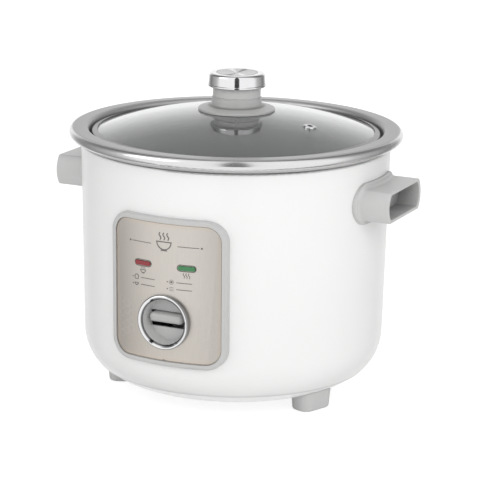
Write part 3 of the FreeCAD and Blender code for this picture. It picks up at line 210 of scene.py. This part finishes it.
def champagnePlate():
    paint = Paint("champagnePlate", Anisotropic=plateLook["anisotropic"])
    low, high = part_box("fascia_plate")
    x = paint.along("X")
    rise = paint.along("Z") - (low[2] + high[2]) / 2
    sideEdge = x.maths("ABSOLUTE") - (high[0] - plateLook["edgeWidth"])
    levelEdge = rise.maths("ABSOLUTE") - ((high[2] - low[2]) / 2 - plateLook["edgeWidth"])
    edge = paint.step(sideEdge.maths("MAXIMUM", levelEdge), 0, plateLook["edgeWidth"])
    brush = paint.noise(plateLook["brush"], 2, plateLook["brushStretch"])
    cloud = paint.noise(plateSheenSweep["cloud"], 2) * plateSheenSweep["cloudShare"]
    # painted sheen across the plate, paler towards the right and the top
    slant = plateSheenSweep["start"] + x * plateSheenSweep["across"] + rise * plateSheenSweep["up"] + cloud
    sheenShare = paint.step(slant, plateSheenSweep["from"], plateSheenSweep["to"])
    body = paint.mix(sheenShare, plateLook["middle"], plateLook["pale"])
    brushed = paint.mix(brush * plateLook["brushShare"], body, plateLook["dark"])
    paint.feed("Base Color", paint.mix(edge * plateLook["edgeShare"], brushed, plateLook["edge"]))
    paint.feed("Metallic", plateLook["metal"] - edge * plateLook["edgeDull"])
    paint.feed("Roughness", plateLook["rough"] + brush * plateLook["roughShift"])
    paint.bump(brush, plateLook["brushDepth"], plateLook["brushStrength"])
    return paint.material


chromeLook = {"light": tone(0.9, 0.9, 0.91), "dark": tone(0.82, 0.82, 0.83), "haze": 70, "metal": 0.98,
              "metalShift": 0.02, "rough": 0.05, "roughShift": 0.05, "roughScale": 900}


def brightChrome():
    paint = Paint("brightChrome")
    haze = paint.noise(chromeLook["haze"], 4)
    smear = paint.noise(chromeLook["roughScale"], 3)
    paint.feed("Base Color", paint.mix(haze, chromeLook["light"], chromeLook["dark"]))
    paint.feed("Metallic", chromeLook["metal"] - haze * chromeLook["metalShift"])
    paint.feed("Roughness", chromeLook["rough"] + smear * chromeLook["roughShift"])
    return paint.material


# painted reflection and shade: the ring's edges are dark in its colour
ringLook = {"bright": tone(0.86, 0.86, 0.87), "dark": tone(0.06), "crestInset": 0.0018, "half": 0.0006,
            "fade": 0.0008, "insideShare": 0.9, "outsideShare": 0.68, "rough": 0.07, "roughShift": 0.06,
            "roughScale": 700}


def ringChromePaintedReflection():  # bright crest between dark edges; the dark edges are painted reflection and painted shade
    paint = Paint("ringChromePaintedReflection", Metallic=1)
    low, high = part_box("switch_ring")
    x, z = paint.along("X"), paint.along("Z") - (low[2] + high[2]) / 2
    off = (x * x + z * z).maths("SQRT") - (high[0] - ringLook["crestInset"])
    inside = paint.step(off, -ringLook["half"], -ringLook["half"] - ringLook["fade"])
    outside = paint.step(off, ringLook["half"], ringLook["half"] + ringLook["fade"])
    edge = inside * ringLook["insideShare"] + outside * ringLook["outsideShare"]
    paint.feed("Base Color", paint.mix(edge, ringLook["bright"], ringLook["dark"]))
    smear = paint.noise(ringLook["roughScale"], 3)
    paint.feed("Roughness", ringLook["rough"] + smear * ringLook["roughShift"])
    return paint.material


potLook = {"rimInset": 0.02, "rimFade": 0.005, "beadInset": 0.0032, "beadFade": 0.0014,
           "wallLight": tone(0.6), "wallDark": tone(0.53, 0.53, 0.525), "rim": tone(0.48),
           "bead": tone(0.78), "cloud": 30, "haze": 0.4, "beadClear": 0.7, "satin": 0.3, "polished": 0.12,
           "roughShift": 0.1, "anisotropic": 0.4, "ringScale": 3200, "ringDepth": 0.000015,
           "ringStrength": 0.45}


def potSteel():  # satin wall, hazy flange and a polished bead
    paint = Paint("potSteel", Anisotropic=potLook["anisotropic"])
    rings, radius = paint.rings(potLook["ringScale"]), paint.radius()
    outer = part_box("inner_pot")[1][0]
    rimStart, beadStart = outer - potLook["rimInset"], outer - potLook["beadInset"]
    rim = paint.step(radius, rimStart, rimStart + potLook["rimFade"])
    bead = paint.step(radius, beadStart, beadStart + potLook["beadFade"])
    wall = paint.mix(paint.noise(potLook["cloud"], 4), potLook["wallLight"], potLook["wallDark"])
    flange = paint.mix(rim, wall, potLook["rim"])
    paint.feed("Base Color", paint.mix(bead, flange, potLook["bead"]))
    hazy = rim - bead * potLook["beadClear"]  # the flange scatters more light than the bead
    paint.feed("Metallic", 1 - hazy * potLook["haze"])
    gloss = potLook["satin"] - bead * (potLook["satin"] - potLook["polished"])
    paint.feed("Roughness", gloss + rings * potLook["roughShift"])
    paint.bump(rings, potLook["ringDepth"], potLook["ringStrength"])
    return paint.material


# painted highlight and painted reflection: a bright and a dark spoke in the disc's colour
discLook = {"plain": tone(0.62), "bright": tone(1), "dark": tone(0.08), "highlightTurn": -46, "darkReflectionTurn": -91,
            "width": 0.3, "rough": 0.2, "roughShift": 0.12, "ringScale": 5200, "ringDepth": 0.00001,
            "ringStrength": 0.4}


def turnedSteel():  # turned disc with a painted highlight and a painted dark reflection, as a bright and a dark spoke across it
    paint = Paint("turnedSteel", Metallic=1)
    rings = paint.rings(discLook["ringScale"])
    turn = paint.along("Y").maths("ARCTAN2", paint.along("X"))

    def glintSpoke(degrees):
        off = (turn - math.radians(degrees)).maths("SINE").maths("ABSOLUTE")
        return 1 - paint.step(off, 0, discLook["width"])

    shaded = paint.mix(glintSpoke(discLook["darkReflectionTurn"]), discLook["plain"], discLook["dark"])
    paint.feed("Base Color", paint.mix(glintSpoke(discLook["highlightTurn"]), shaded, discLook["bright"]))
    paint.feed("Roughness", discLook["rough"] + rings * discLook["roughShift"])
    paint.bump(rings, discLook["ringDepth"], discLook["ringStrength"])
    return paint.material


# painted shade on the guard and in the crease round the neck
knobLook = {"light": tone(0.62, 0.62, 0.615), "dark": tone(0.54, 0.54, 0.535),
            "guard": tone(0.44, 0.44, 0.435), "creaseShade": tone(0.22, 0.22, 0.215), "creaseInset": 0.0093,
            "creaseHalf": 0.003, "rough": 0.3}


def knobMoulding():  # smooth moulding with painted shade: darker in the crease round the neck and on the guard
    paint = Paint("knobMoulding", Specular_IOR_Level=mould["specular"])
    cloud, pits = paint.noise(mould["cloud"], 3), paint.noise(mould["grain"], 2)
    clouded = cloud * mould["cloudShare"] + pits * mould["speckShare"]
    neck = paint.mix(clouded, knobLook["light"], knobLook["dark"])
    off = paint.radius() - (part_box("knob_base")[1][0] - knobLook["creaseInset"])
    plain = paint.mix(paint.step(off, 0, knobLook["creaseHalf"]), neck, knobLook["guard"])
    creaseShade = 1 - paint.step(off.maths("ABSOLUTE"), 0, knobLook["creaseHalf"])
    paint.feed("Base Color", paint.mix(creaseShade, plain, knobLook["creaseShade"]))
    paint.feed("Roughness", knobLook["rough"] + pits * mould["roughShift"])
    paint.bump(pits, mould["grainDepth"], mould["grainStrength"])
    return paint.material


glassLook = {"clear": tone(0.86, 0.87, 0.87), "smeared": tone(0.8, 0.81, 0.81), "metal": 0.86, "index": 1.5,
             "alpha": 0.05, "alphaRise": 1.9, "alphaMost": 0.97, "smear": 26, "rough": 0.02,
             "roughShift": 0.05}


def lidGlass():  # clear when seen straight on, a mirror at a slant
    paint = Paint("lidGlass", Metallic=glassLook["metal"])
    slant = paint.node("ShaderNodeFresnel", {}, {"IOR": glassLook["index"]})
    smear = paint.noise(glassLook["smear"], 4)
    cover = glassLook["alpha"] + slant * glassLook["alphaRise"]
    paint.feed("Base Color", paint.mix(smear, glassLook["clear"], glassLook["smeared"]))
    paint.feed("Alpha", cover.maths("MINIMUM", glassLook["alphaMost"]))
    paint.feed("Roughness", glassLook["rough"] + smear * glassLook["roughShift"])
    return paint.material


lensLook = {"index": 1.49, "coatIndex": 1.5, "coatRough": 0.04, "coat": 0.35, "coatShift": 0.2, "cloud": 150,
            "cloudShare": 0.5, "ribs": 260, "ribShare": 0.45, "ribDepth": 0.00003, "ribStrength": 0.25,
            "rough": 0.1, "roughShift": 0.08}


def clearLens(name, bright, deep):
    paint = Paint(name, IOR=lensLook["index"], Coat_IOR=lensLook["coatIndex"],
                  Coat_Roughness=lensLook["coatRough"])
    ribbed = {"Vector": paint.place(), "Scale": lensLook["ribs"]}
    ribs = paint.node("ShaderNodeTexWave", {"wave_profile": "SIN"}, ribbed)
    cloud = paint.noise(lensLook["cloud"], 2)
    depth = ribs * lensLook["ribShare"] + cloud * lensLook["cloudShare"]
    paint.feed("Base Color", paint.mix(depth, bright, deep))
    paint.feed("Roughness", lensLook["rough"] + ribs * lensLook["roughShift"])
    paint.feed("Coat Weight", lensLook["coat"] + cloud * lensLook["coatShift"])
    paint.bump(ribs, lensLook["ribDepth"], lensLook["ribStrength"])
    return paint.material


metalLook = {"cloud": 45, "cloudShare": 0.6, "grainShare": 0.4, "metalShift": 0.08, "roughShift": 0.18,
             "grainDepth": 0.00003, "grainStrength": 0.4}


def plainMetal(name, light, dark, rough, grainScale):
    paint = Paint(name)
    cloud = paint.noise(metalLook["cloud"], 4)
    grain = paint.noise(grainScale, 3)
    clouded = cloud * metalLook["cloudShare"] + grain * metalLook["grainShare"]
    paint.feed("Base Color", paint.mix(clouded, light, dark))
    paint.feed("Metallic", 1 - cloud * metalLook["metalShift"])
    paint.feed("Roughness", rough + grain * metalLook["roughShift"])
    paint.bump(grain, metalLook["grainDepth"], metalLook["grainStrength"])
    return paint.material


inkLook = {"dark": tone(0.11, 0.1, 0.095), "worn": tone(0.2, 0.185, 0.17), "wear": 900, "specular": 0.4,
           "rough": 0.42, "roughShift": 0.15}


# ink for the panel prints, also used for the painted shadow line round the plate's edge
def inkAndEdgeShadow():
    paint = Paint("panelInkAndEdgeShadow", Specular_IOR_Level=inkLook["specular"])
    wear = paint.noise(inkLook["wear"], 3)
    paint.feed("Base Color", paint.mix(wear, inkLook["dark"], inkLook["worn"]))
    paint.feed("Roughness", inkLook["rough"] + wear * inkLook["roughShift"])
    return paint.material


# One finish for each material slot, then the pieces that have a finish of their own
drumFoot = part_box("outer_shell")[0][2]
greyLight, greyDark = tone(0.6, 0.6, 0.595), tone(0.52, 0.52, 0.515)
finishes = {
    # drum enamel with painted shade at its foot
    "white_enamel": whiteEnamel("drumEnamel", enamel["light"], enamel["deep"], drumFoot),
    "grey_plastic": moulding("greyMoulding", greyLight, greyDark, 0.34),
    "champagne_steel": champagnePlate(),
    "chrome": brightChrome(),
    "pot_steel": potSteel(),
    "lid_glass": lidGlass(),
    "red_lens": clearLens("redLens", tone(0.31, 0.02, 0.028), tone(0.18, 0.01, 0.016)),
    "green_lens": clearLens("greenLens", tone(0.05, 0.26, 0.09), tone(0.02, 0.13, 0.045)),
    "lamp_glass": clearLens("lampGlass", tone(0.8, 0.76, 0.7), tone(0.6, 0.55, 0.5)),
    "cast_aluminium": plainMetal("castAluminium", tone(0.72), tone(0.55), 0.36, 1400),
    "zinc_steel": plainMetal("zincSteel", tone(0.66, 0.67, 0.68), tone(0.5, 0.51, 0.52), 0.3, 600),
    "magnet_black": plainMetal("sinteredMagnet", tone(0.1), tone(0.05), 0.5, 2200),
    "black_plastic": moulding("blackMoulding", tone(0.035), tone(0.02), 0.4),
    "red_plastic": moulding("redMoulding", tone(0.5, 0.05, 0.045), tone(0.36, 0.03, 0.03), 0.3),
    "ceramic": moulding("glazedCeramic", tone(0.84, 0.82, 0.76), tone(0.76, 0.73, 0.66), 0.16, 700, 0.00002),
    "brass": plainMetal("platedBrass", tone(0.75, 0.6, 0.3), tone(0.58, 0.44, 0.2), 0.26, 900),
    "silicone": moulding("siliconeSeal", tone(0.74, 0.74, 0.72), tone(0.64, 0.64, 0.62), 0.6, 1500),
    "washer_plastic": moulding("washerMoulding", tone(0.4), tone(0.32), 0.5),
}
# painted shade inside the handles' hollows
handleHollowShade = {"reach": 0.03, "from": 0.15, "to": 0.66, "tone": tone(0.23, 0.23, 0.228), "samples": 8}
handleMoulding = moulding("handleMoulding", greyLight, greyDark, 0.32, deep=handleHollowShade)
ownFinish = {
    # base cover in a lighter copy of the drum's enamel, a painted highlight
    "base_cover": whiteEnamel("litCoverEnamel", litCoverEnamel["light"], litCoverEnamel["deep"]),
    "handle_right": handleMoulding,
    "handle_left": handleMoulding,
    "panel_frame": moulding("frameMoulding", tone(0.56, 0.56, 0.555), tone(0.49, 0.49, 0.485), 0.3),
    "switch_dish": moulding("dishMoulding", tone(0.56, 0.56, 0.555), tone(0.49, 0.49, 0.485), 0.34),
    "lever_paddle": moulding("leverMoulding", tone(0.48, 0.48, 0.475), tone(0.41, 0.41, 0.405), 0.2),
    "switch_ring": ringChromePaintedReflection(),
    "knob_disc": turnedSteel(),
    "knob_base": knobMoulding(),
}
for part in frame["record"]["subparts"]:
    mesh = nodes[part["node"]].data
    mesh.materials.clear()
    mesh.materials.append(ownFinish.get(part["node"], finishes[part["material_slot"]]))
print("finishes made:", len(finishes), "for slots and", len(set(ownFinish.values())), "for single pieces")

# Coil springs of round wire, each wound in place of its spring piece and fixed to its body; the joint each
# pushes against is only listed
springs = {
    "sensor_spring": {"body": "cooker", "joint": "sensor_press", "wire": 0.0006, "stroke": 0.0025,
                      "held": 0},
    "magnet_spring": {"body": "sensor", "joint": "magnet_slide", "wire": 0.00045, "stroke": 0.0052,
                      "held": 1},
}
coil = {"turns": 4, "stepsPerTurn": 64, "sides": 12}


def coilSpring(name, look):  # held, not used, is the end that stays: 0 the lower, 1 the upper
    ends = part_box(name)
    wire = look["wire"]
    length = ends[1][2] - ends[0][2]
    sides = coil["sides"]
    steps = coil["turns"] * coil["stepsPerTurn"]
    points, faces = [], []
    for step in range(steps + 1):
        turn = math.tau * step / coil["stepsPerTurn"]
        level = ends[0][2] + wire + (length - wire * 2) * step / steps
        for side in range(sides):
            roll = math.tau * side / sides
            out = ends[1][0] - wire + wire * math.cos(roll)
            points.append((out * math.cos(turn), out * math.sin(turn), level + wire * math.sin(roll)))
    for step in range(steps):
        for side in range(sides):
            first = step * sides + side
            second = step * sides + (side + 1) % sides
            faces.append((first, first + sides, second + sides, second))
    faces.append(tuple(range(sides)))
    faces.append(tuple(reversed(range(steps * sides, (steps + 1) * sides))))
    mesh = bpy.data.meshes.new(name + "_coil")
    mesh.from_pydata(points, [], faces)
    mesh.shade_smooth()
    mesh.materials.append(finishes["zinc_steel"])
    piece = bpy.data.objects.new(name + "_coil", mesh)
    scene.collection.objects.link(piece)
    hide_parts(name)
    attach(piece, look["body"])
    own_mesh(piece)


for name, look in springs.items():
    coilSpring(name, look)
print("springs wound:", len(springs))

# Panel prints: thin inked ribbons that follow the leaning face of the plate
prints = {"lift": 0.00012, "bold": 0.00085, "outline": 0.00065, "line": 0.0005, "edge": 0.00018,
          "fine": 0.00022, "run": 0.0012, "arcSteps": 24}
steamStroke = {"steps": 16, "sway": 0.14}
bowlStroke = {"lip": 1.1, "foot": 0.45, "footDrop": 1.12}
bandHeight = 0.004  # of the plate's ends, where its radius is read
plateLow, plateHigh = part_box("fascia_plate")
plateMiddle = (plateLow[2] + plateHigh[2]) / 2
platePoints = [vertex.co for vertex in nodes["fascia_plate"].data.vertices]


def widest(level):
    return max(math.hypot(point.x, point.y) for point in platePoints if abs(point.z - level) < bandHeight)


lowRadius, highRadius = widest(plateLow[2]), widest(plateHigh[2])


def onPlate(across, level):  # distance round the plate and height, to a point just over its face
    share = (level - plateLow[2]) / (plateHigh[2] - plateLow[2])
    radius = lowRadius + (highRadius - lowRadius) * share + prints["lift"]
    turn = across / radius
    return Vector((radius * math.sin(turn), -radius * math.cos(turn), level))


def bend(middle, radius, start, end, steps):  # points on an arc, its ends in degrees
    turns = [math.radians(start + (end - start) * index / steps) for index in range(steps + 1)]
    return [(middle[0] + radius * math.cos(turn), middle[1] + radius * math.sin(turn)) for turn in turns]


class Ink:  # gathers ribbons and writes them as one mesh
    def __init__(self):
        self.points = []
        self.faces = []

    def ribbon(self, points, width, closed=False):
        line = [Vector(point) for point in points]
        if closed:
            line.append(line[0])
        fine = [line[0]]
        for start, end in zip(line, line[1:]):
            parts = max(1, math.ceil((end - start).length / prints["run"]))
            fine += [start.lerp(end, index / parts) for index in range(1, parts + 1)]
        base = len(self.points)
        for index, point in enumerate(fine):
            before = fine[index - 1] if index else (fine[-2] if closed else fine[0])
            after = fine[index + 1] if index + 1 < len(fine) else (fine[1] if closed else fine[-1])
            way = (after - before).normalized()
            aside = Vector((-way.y, way.x)) * (width / 2)
            self.points += [onPlate(*(point - aside)), onPlate(*(point + aside))]
        for index in range(len(fine) - 1):
            first = base + index * 2
            self.faces.append((first, first + 2, first + 3, first + 1))

    def bar(self, start, end, level, width):
        self.ribbon([(start, level), (end, level)], width)

    def arc(self, middle, radius, start, end, width):
        self.ribbon(bend(middle, radius, start, end, prints["arcSteps"]), width)

    def dot(self, middle, radius):
        self.arc(middle, radius / 2, 0, 360, radius)

    def steam(self, across, level, height, width):  # one wavy stroke
        sway = height * steamStroke["sway"]
        points = []
        for index in range(steamStroke["steps"] + 1):
            share = index / steamStroke["steps"]
            points.append((across + sway * math.sin(share * math.tau), level + height * share))
        self.ribbon(points, width)

    def bowl(self, across, level, radius, width):  # bowl on a foot
        lip, foot = radius * bowlStroke["lip"], radius * bowlStroke["foot"]
        self.bar(across - lip, across + lip, level, width)
        self.arc((across, level), radius, 180, 360, width)
        self.bar(across - foot, across + foot, level - radius * bowlStroke["footDrop"], width)

    def write(self, name, material):
        mesh = bpy.data.meshes.new(name)
        mesh.from_pydata(self.points, [], self.faces)
        mesh.materials.append(material)
        piece = bpy.data.objects.new(name, mesh)
        scene.collection.objects.link(piece)
        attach(piece, "cooker")


marks = Ink()

# Dark outline of each light
lightOutline = {"margin": 0.0008, "endSteps": 12}
lensLow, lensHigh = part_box("cook_lens")
lightLevel = (lensLow[2] + lensHigh[2]) / 2
lightAcross = abs(lensLow[0] + lensHigh[0]) / 2
endRadius = (lensHigh[2] - lensLow[2]) / 2 + lightOutline["margin"]
endAcross = (lensHigh[0] - lensLow[0]) / 2 + lightOutline["margin"] - endRadius
for light in (-lightAcross, lightAcross):
    rightEnd = bend((light + endAcross, lightLevel), endRadius, -90, 90, lightOutline["endSteps"])
    leftEnd = bend((light - endAcross, lightLevel), endRadius, 90, 270, lightOutline["endSteps"])
    marks.ribbon(rightEnd + leftEnd, prints["outline"], closed=True)

# Dark line round the plate's edge: painted shadow of the gap between plate and frame
plateEdgeShadow = {"inset": 0.0005, "corner": 0.0125, "cornerSteps": 9}
hubAcross = lowRadius * math.asin(plateHigh[0] / lowRadius) - plateEdgeShadow["inset"] - plateEdgeShadow["corner"]
hubRise = (plateHigh[2] - plateLow[2]) / 2 - plateEdgeShadow["inset"] - plateEdgeShadow["corner"]
edgeShadowLine = []
for right, up, start in ((1, 1, 0), (-1, 1, 90), (-1, -1, 180), (1, -1, 270)):
    hub = (right * hubAcross, plateMiddle + up * hubRise)
    edgeShadowLine += bend(hub, plateEdgeShadow["corner"], start, start + 90, plateEdgeShadow["cornerSteps"])
marks.ribbon(edgeShadowLine, prints["edge"], closed=True)

# A steaming bowl under the cooking light, steam under the warming light
lightSigns = {"drop": 0.0056, "bowl": 0.0024, "bowlSteam": 0.0019, "bowlSteamRise": 0.0007,
              "bowlSteamGap": 0.0015, "steam": 0.0042, "steamDrop": 0.0024, "steamGap": 0.0021}
signLevel = lightLevel - lightSigns["drop"]
marks.bowl(-lightAcross, signLevel, lightSigns["bowl"], prints["line"])
for index in (-1, 0, 1):
    bowlSteam = -lightAcross + index * lightSigns["bowlSteamGap"]
    marks.steam(bowlSteam, signLevel + lightSigns["bowlSteamRise"], lightSigns["bowlSteam"], prints["fine"])
    steam = lightAcross + index * lightSigns["steamGap"]
    marks.steam(steam, signLevel - lightSigns["steamDrop"], lightSigns["steam"], prints["line"])

# A large steaming bowl at the top, with a thin rule and a dot on each side
topSign = {"drop": 0.0152, "bowl": 0.0062, "steam": 0.0058, "steamRise": 0.0016, "steamGap": 0.0034,
           "ruleDrop": 0.0025, "ruleStart": 0.0115, "ruleEnd": 0.0295, "dotAcross": 0.0315, "dot": 0.0008}
topLevel = plateHigh[2] - topSign["drop"]
ruleLevel = topLevel - topSign["ruleDrop"]
marks.bowl(0, topLevel, topSign["bowl"], prints["bold"])
for index in (-1, 0, 1):
    steamLevel = topLevel + topSign["steamRise"]
    marks.steam(index * topSign["steamGap"], steamLevel, topSign["steam"], prints["bold"])
for side in (-1, 1):
    marks.bar(side * topSign["ruleStart"], side * topSign["ruleEnd"], ruleLevel, prints["line"])
    marks.dot((side * topSign["dotAcross"], ruleLevel), topSign["dot"])

# Four ways to cook: a dot, a sign and a short bar each
ways = {"left": -0.0255, "right": 0.0065, "upperDrop": 0.0122, "lowerDrop": 0.0178, "dotGap": 0.0035,
        "dot": 0.0005, "barStart": 0.0042, "barEnd": 0.0172}
smallSigns = {"lid": 0.0017, "lidRise": 0.0004, "potHalf": 0.0015, "potDrop": 0.0016, "sun": 0.0009,
              "sunRing": 0.0018, "stripe": 0.0018, "stripeGap": 0.0013, "bowl": 0.0017, "bowlRise": 0.0008}


def lidSign(across, level):  # a pot under its lid
    lid, half = smallSigns["lid"], smallSigns["potHalf"]
    top, bottom = level + smallSigns["lidRise"], level - smallSigns["potDrop"]
    pot = [(across - lid, top), (across - half, bottom), (across + half, bottom), (across + lid, top)]
    marks.ribbon(pot, prints["line"])
    marks.arc((across, top), lid, 0, 180, prints["line"])


def sunSign(across, level):  # warmth
    marks.dot((across, level), smallSigns["sun"])
    marks.arc((across, level), smallSigns["sunRing"], 0, 360, prints["fine"])


def stripeSign(across, level):  # a steaming rack
    for index in (-1, 0, 1):
        stripe = level + index * smallSigns["stripeGap"]
        marks.bar(across - smallSigns["stripe"], across + smallSigns["stripe"], stripe, prints["fine"])


def bowlSign(across, level):
    marks.bowl(across, level + smallSigns["bowlRise"], smallSigns["bowl"], prints["line"])


signs = (("left", "lowerDrop", bowlSign), ("left", "upperDrop", lidSign), ("right", "lowerDrop", stripeSign),
         ("right", "upperDrop", sunSign))
for column, drop, sign in signs:
    across, level = ways[column], lightLevel - ways[drop]
    marks.dot((across - ways["dotGap"], level), ways["dot"])
    sign(across, level)
    marks.bar(across + ways["barStart"], across + ways["barEnd"], level, prints["line"])
marks.write("panel_marks_and_edge_shadow", inkAndEdgeShadow())

# Faint honeycomb near the lower corners of the plate
honeycomb = {"cell": 0.0034, "drawn": 0.86, "columns": 3, "rows": 6, "inset": 0.0055, "rise": 0.016,
             "light": tone(0.74, 0.71, 0.67), "dark": tone(0.64, 0.61, 0.57), "rough": 0.4}
columnPitch = honeycomb["cell"] * 1.5  # as six-sided cells stand
rowPitch = honeycomb["cell"] * math.sqrt(3)
cells = Ink()
for side in (-1, 1):
    for column in range(honeycomb["columns"]):
        for row in range(honeycomb["rows"] - column):
            across = side * (plateHigh[0] - honeycomb["inset"] - column * columnPitch)
            level = plateLow[2] + honeycomb["rise"] + (row + column / 2) * rowPitch
            corners = bend((across, level), honeycomb["cell"] * honeycomb["drawn"], 0, 300, 5)  # six
            cells.ribbon(corners, prints["fine"], closed=True)
paleInk = moulding("paleInk", honeycomb["light"], honeycomb["dark"], honeycomb["rough"])
cells.write("panel_honeycomb", paleInk)
print("panel prints made:", len(marks.faces) + len(cells.faces), "faces")

# Camera at the photograph's angle
cameraLook = {"place": (0.763, -1.622, 0.5785), "target": (0, 0, 0.12), "lens": 166.6, "sensor": 36,
              "roll": 0.86, "shift": (0.0113, 0.0054)}


def aimed(place, target):  # stands at place and looks at target
    turned = (Vector(target) - Vector(place)).to_track_quat("-Z", "Y").to_matrix().to_4x4()
    return Matrix.Translation(place) @ turned


cameraData = bpy.data.cameras.new("camera")
cameraData.lens = cameraLook["lens"]
cameraData.sensor_width = cameraLook["sensor"]
cameraData.shift_x, cameraData.shift_y = cameraLook["shift"]
camera = bpy.data.objects.new("camera", cameraData)
rolled = Matrix.Rotation(math.radians(cameraLook["roll"]), 4, "Z")
camera.matrix_world = aimed(cameraLook["place"], cameraLook["target"]) @ rolled
scene.collection.objects.link(camera)
scene.camera = camera

# Soft lamps; only a mirrored one shows in bright metal
lampTarget = (0, 0, 0.13)
lamps = (
    {"name": "keyLamp", "place": (1.6, -1.35, 1.2), "size": 1.5, "watts": 18.5, "mirrored": False},
    {"name": "sideLamp", "place": (-1.2, -1.6, 1.1), "size": 1.2, "watts": 7.5, "mirrored": True},
    {"name": "topLamp", "place": (0.1, 0.8, 2.1), "size": 1.8, "watts": 6, "mirrored": False},
    {"name": "backLamp", "place": (-0.9, 1.9, 0.9), "size": 1.6, "watts": 13, "mirrored": False},
)
for lamp in lamps:
    data = bpy.data.lights.new(lamp["name"], "AREA")
    data.energy = lamp["watts"]
    data.size = lamp["size"]
    item = bpy.data.objects.new(lamp["name"], data)
    item.matrix_world = aimed(lamp["place"], lampTarget)
    item.visible_glossy = lamp["mirrored"]
    scene.collection.objects.link(item)

# White floor, partly glowing for the camera so that only its shadow shows
floorLook = {"tone": tone(0.93), "rough": 0.9, "specular": 0.1, "half": 4.0, "glow": 1.2, "glowShare": 0.72}
floorPaint = Paint("studioFloor", Base_Color=floorLook["tone"], Roughness=floorLook["rough"],
                   Specular_IOR_Level=floorLook["specular"])
glow = floorPaint.node("ShaderNodeEmission", {}, {"Strength": floorLook["glow"]})
seenRay = floorPaint.node("ShaderNodeLightPath", {}, {}, "Is Camera Ray")
lit = Wire(floorPaint, floorPaint.shader.outputs[0])
sheet = floorPaint.node("ShaderNodeMixShader", {}, {0: seenRay * floorLook["glowShare"], 1: lit, 2: glow})
floorPaint.tree.links.new(sheet.socket, floorPaint.tree.nodes["Material Output"].inputs["Surface"])
half = floorLook["half"]
floorMesh = bpy.data.meshes.new("studio_floor")
corners = [(-half, -half, 0), (half, -half, 0), (half, half, 0), (-half, half, 0)]
floorMesh.from_pydata(corners, [], [(0, 1, 2, 3)])
floorMesh.materials.append(floorPaint.material)
floor = bpy.data.objects.new("studio_floor", floorMesh)
floor.visible_glossy = False  # bright metal shows the cards below the horizon too
scene.collection.objects.link(floor)

# White world with dark cards and a dark ceiling that only bright metal shows
skyLook = {
    "fill": 0.71,
    "cards": [(0, tone(1)), (0.4, tone(1)), (0.5, tone(0.5)), (0.7, tone(0.2)), (0.78, tone(0.35)),
              (0.86, tone(1)), (1, tone(1))],  # from the camera's side to the far side
    "ceiling": [(0, tone(1)), (0.22, tone(1)), (0.5, tone(0.52)), (0.85, tone(0.32)), (1, tone(0.25))],
    "upper": [(0, tone(1)), (0.3, tone(1)), (1, tone(0.8))],  # softer light from straight above
    "lensCard": tone(0.04), "lensCardHalf": 0.042, "lensCardFade": 0.062, "lensCardFoot": -0.45,
    "lensCardFull": -0.35, "farHalf": 0.3,
}


class Sky(Paint):  # the world's nodes, built in the same way
    def __init__(self, name):
        self.world = bpy.data.worlds.new(name)
        self.world.use_nodes = True
        self.tree = self.world.node_tree
        self.shader = self.tree.nodes["Background"]

    def along(self, axis):
        way = self.node("ShaderNodeTexCoord", {}, {}, "Generated")
        return self.node("ShaderNodeSeparateXYZ", {}, {"Vector": way}, axis)

    def ray(self, kind):
        return self.node("ShaderNodeLightPath", {}, {}, kind)


sky = Sky("studioWorld")
scene.world = sky.world
east, north, height = sky.along("X"), sky.along("Y"), sky.along("Z")
facing = math.atan2(cameraLook["place"][0], -cameraLook["place"][1])
forward = east * math.sin(facing) - north * math.cos(facing)
sideways = east * math.cos(facing) + north * math.sin(facing)
turnAway = sideways.maths("ARCTAN2", forward).maths("ABSOLUTE") / math.pi
sides = sky.ramp(skyLook["cards"], turnAway)
lensWidth = 1 - sky.step(turnAway, skyLook["lensCardHalf"], skyLook["lensCardFade"])
lensHeight = sky.step(height, skyLook["lensCardFoot"], skyLook["lensCardFull"])
carded = sky.mix(lensWidth * lensHeight, sides, skyLook["lensCard"])  # narrow dark card at the camera
ceiling = sky.ramp(skyLook["ceiling"], height)
farSide = sky.step(forward, skyLook["farHalf"], -skyLook["farHalf"])  # the ceiling is only over the far side
mirrored = sky.mix(farSide, carded, ceiling, "MULTIPLY")
glossyRay = sky.ray("Is Glossy Ray")
direct = sky.ray("Is Camera Ray").maths("MAXIMUM", sky.ray("Is Transmission Ray"))
soft = sky.mix(direct, sky.ramp(skyLook["upper"], height), tone(1))
sky.feed("Color", sky.mix(glossyRay, soft, mirrored))
sky.feed("Strength", skyLook["fill"] + direct.maths("MAXIMUM", glossyRay) * (1 - skyLook["fill"]))
print("camera, lamps and floor set")
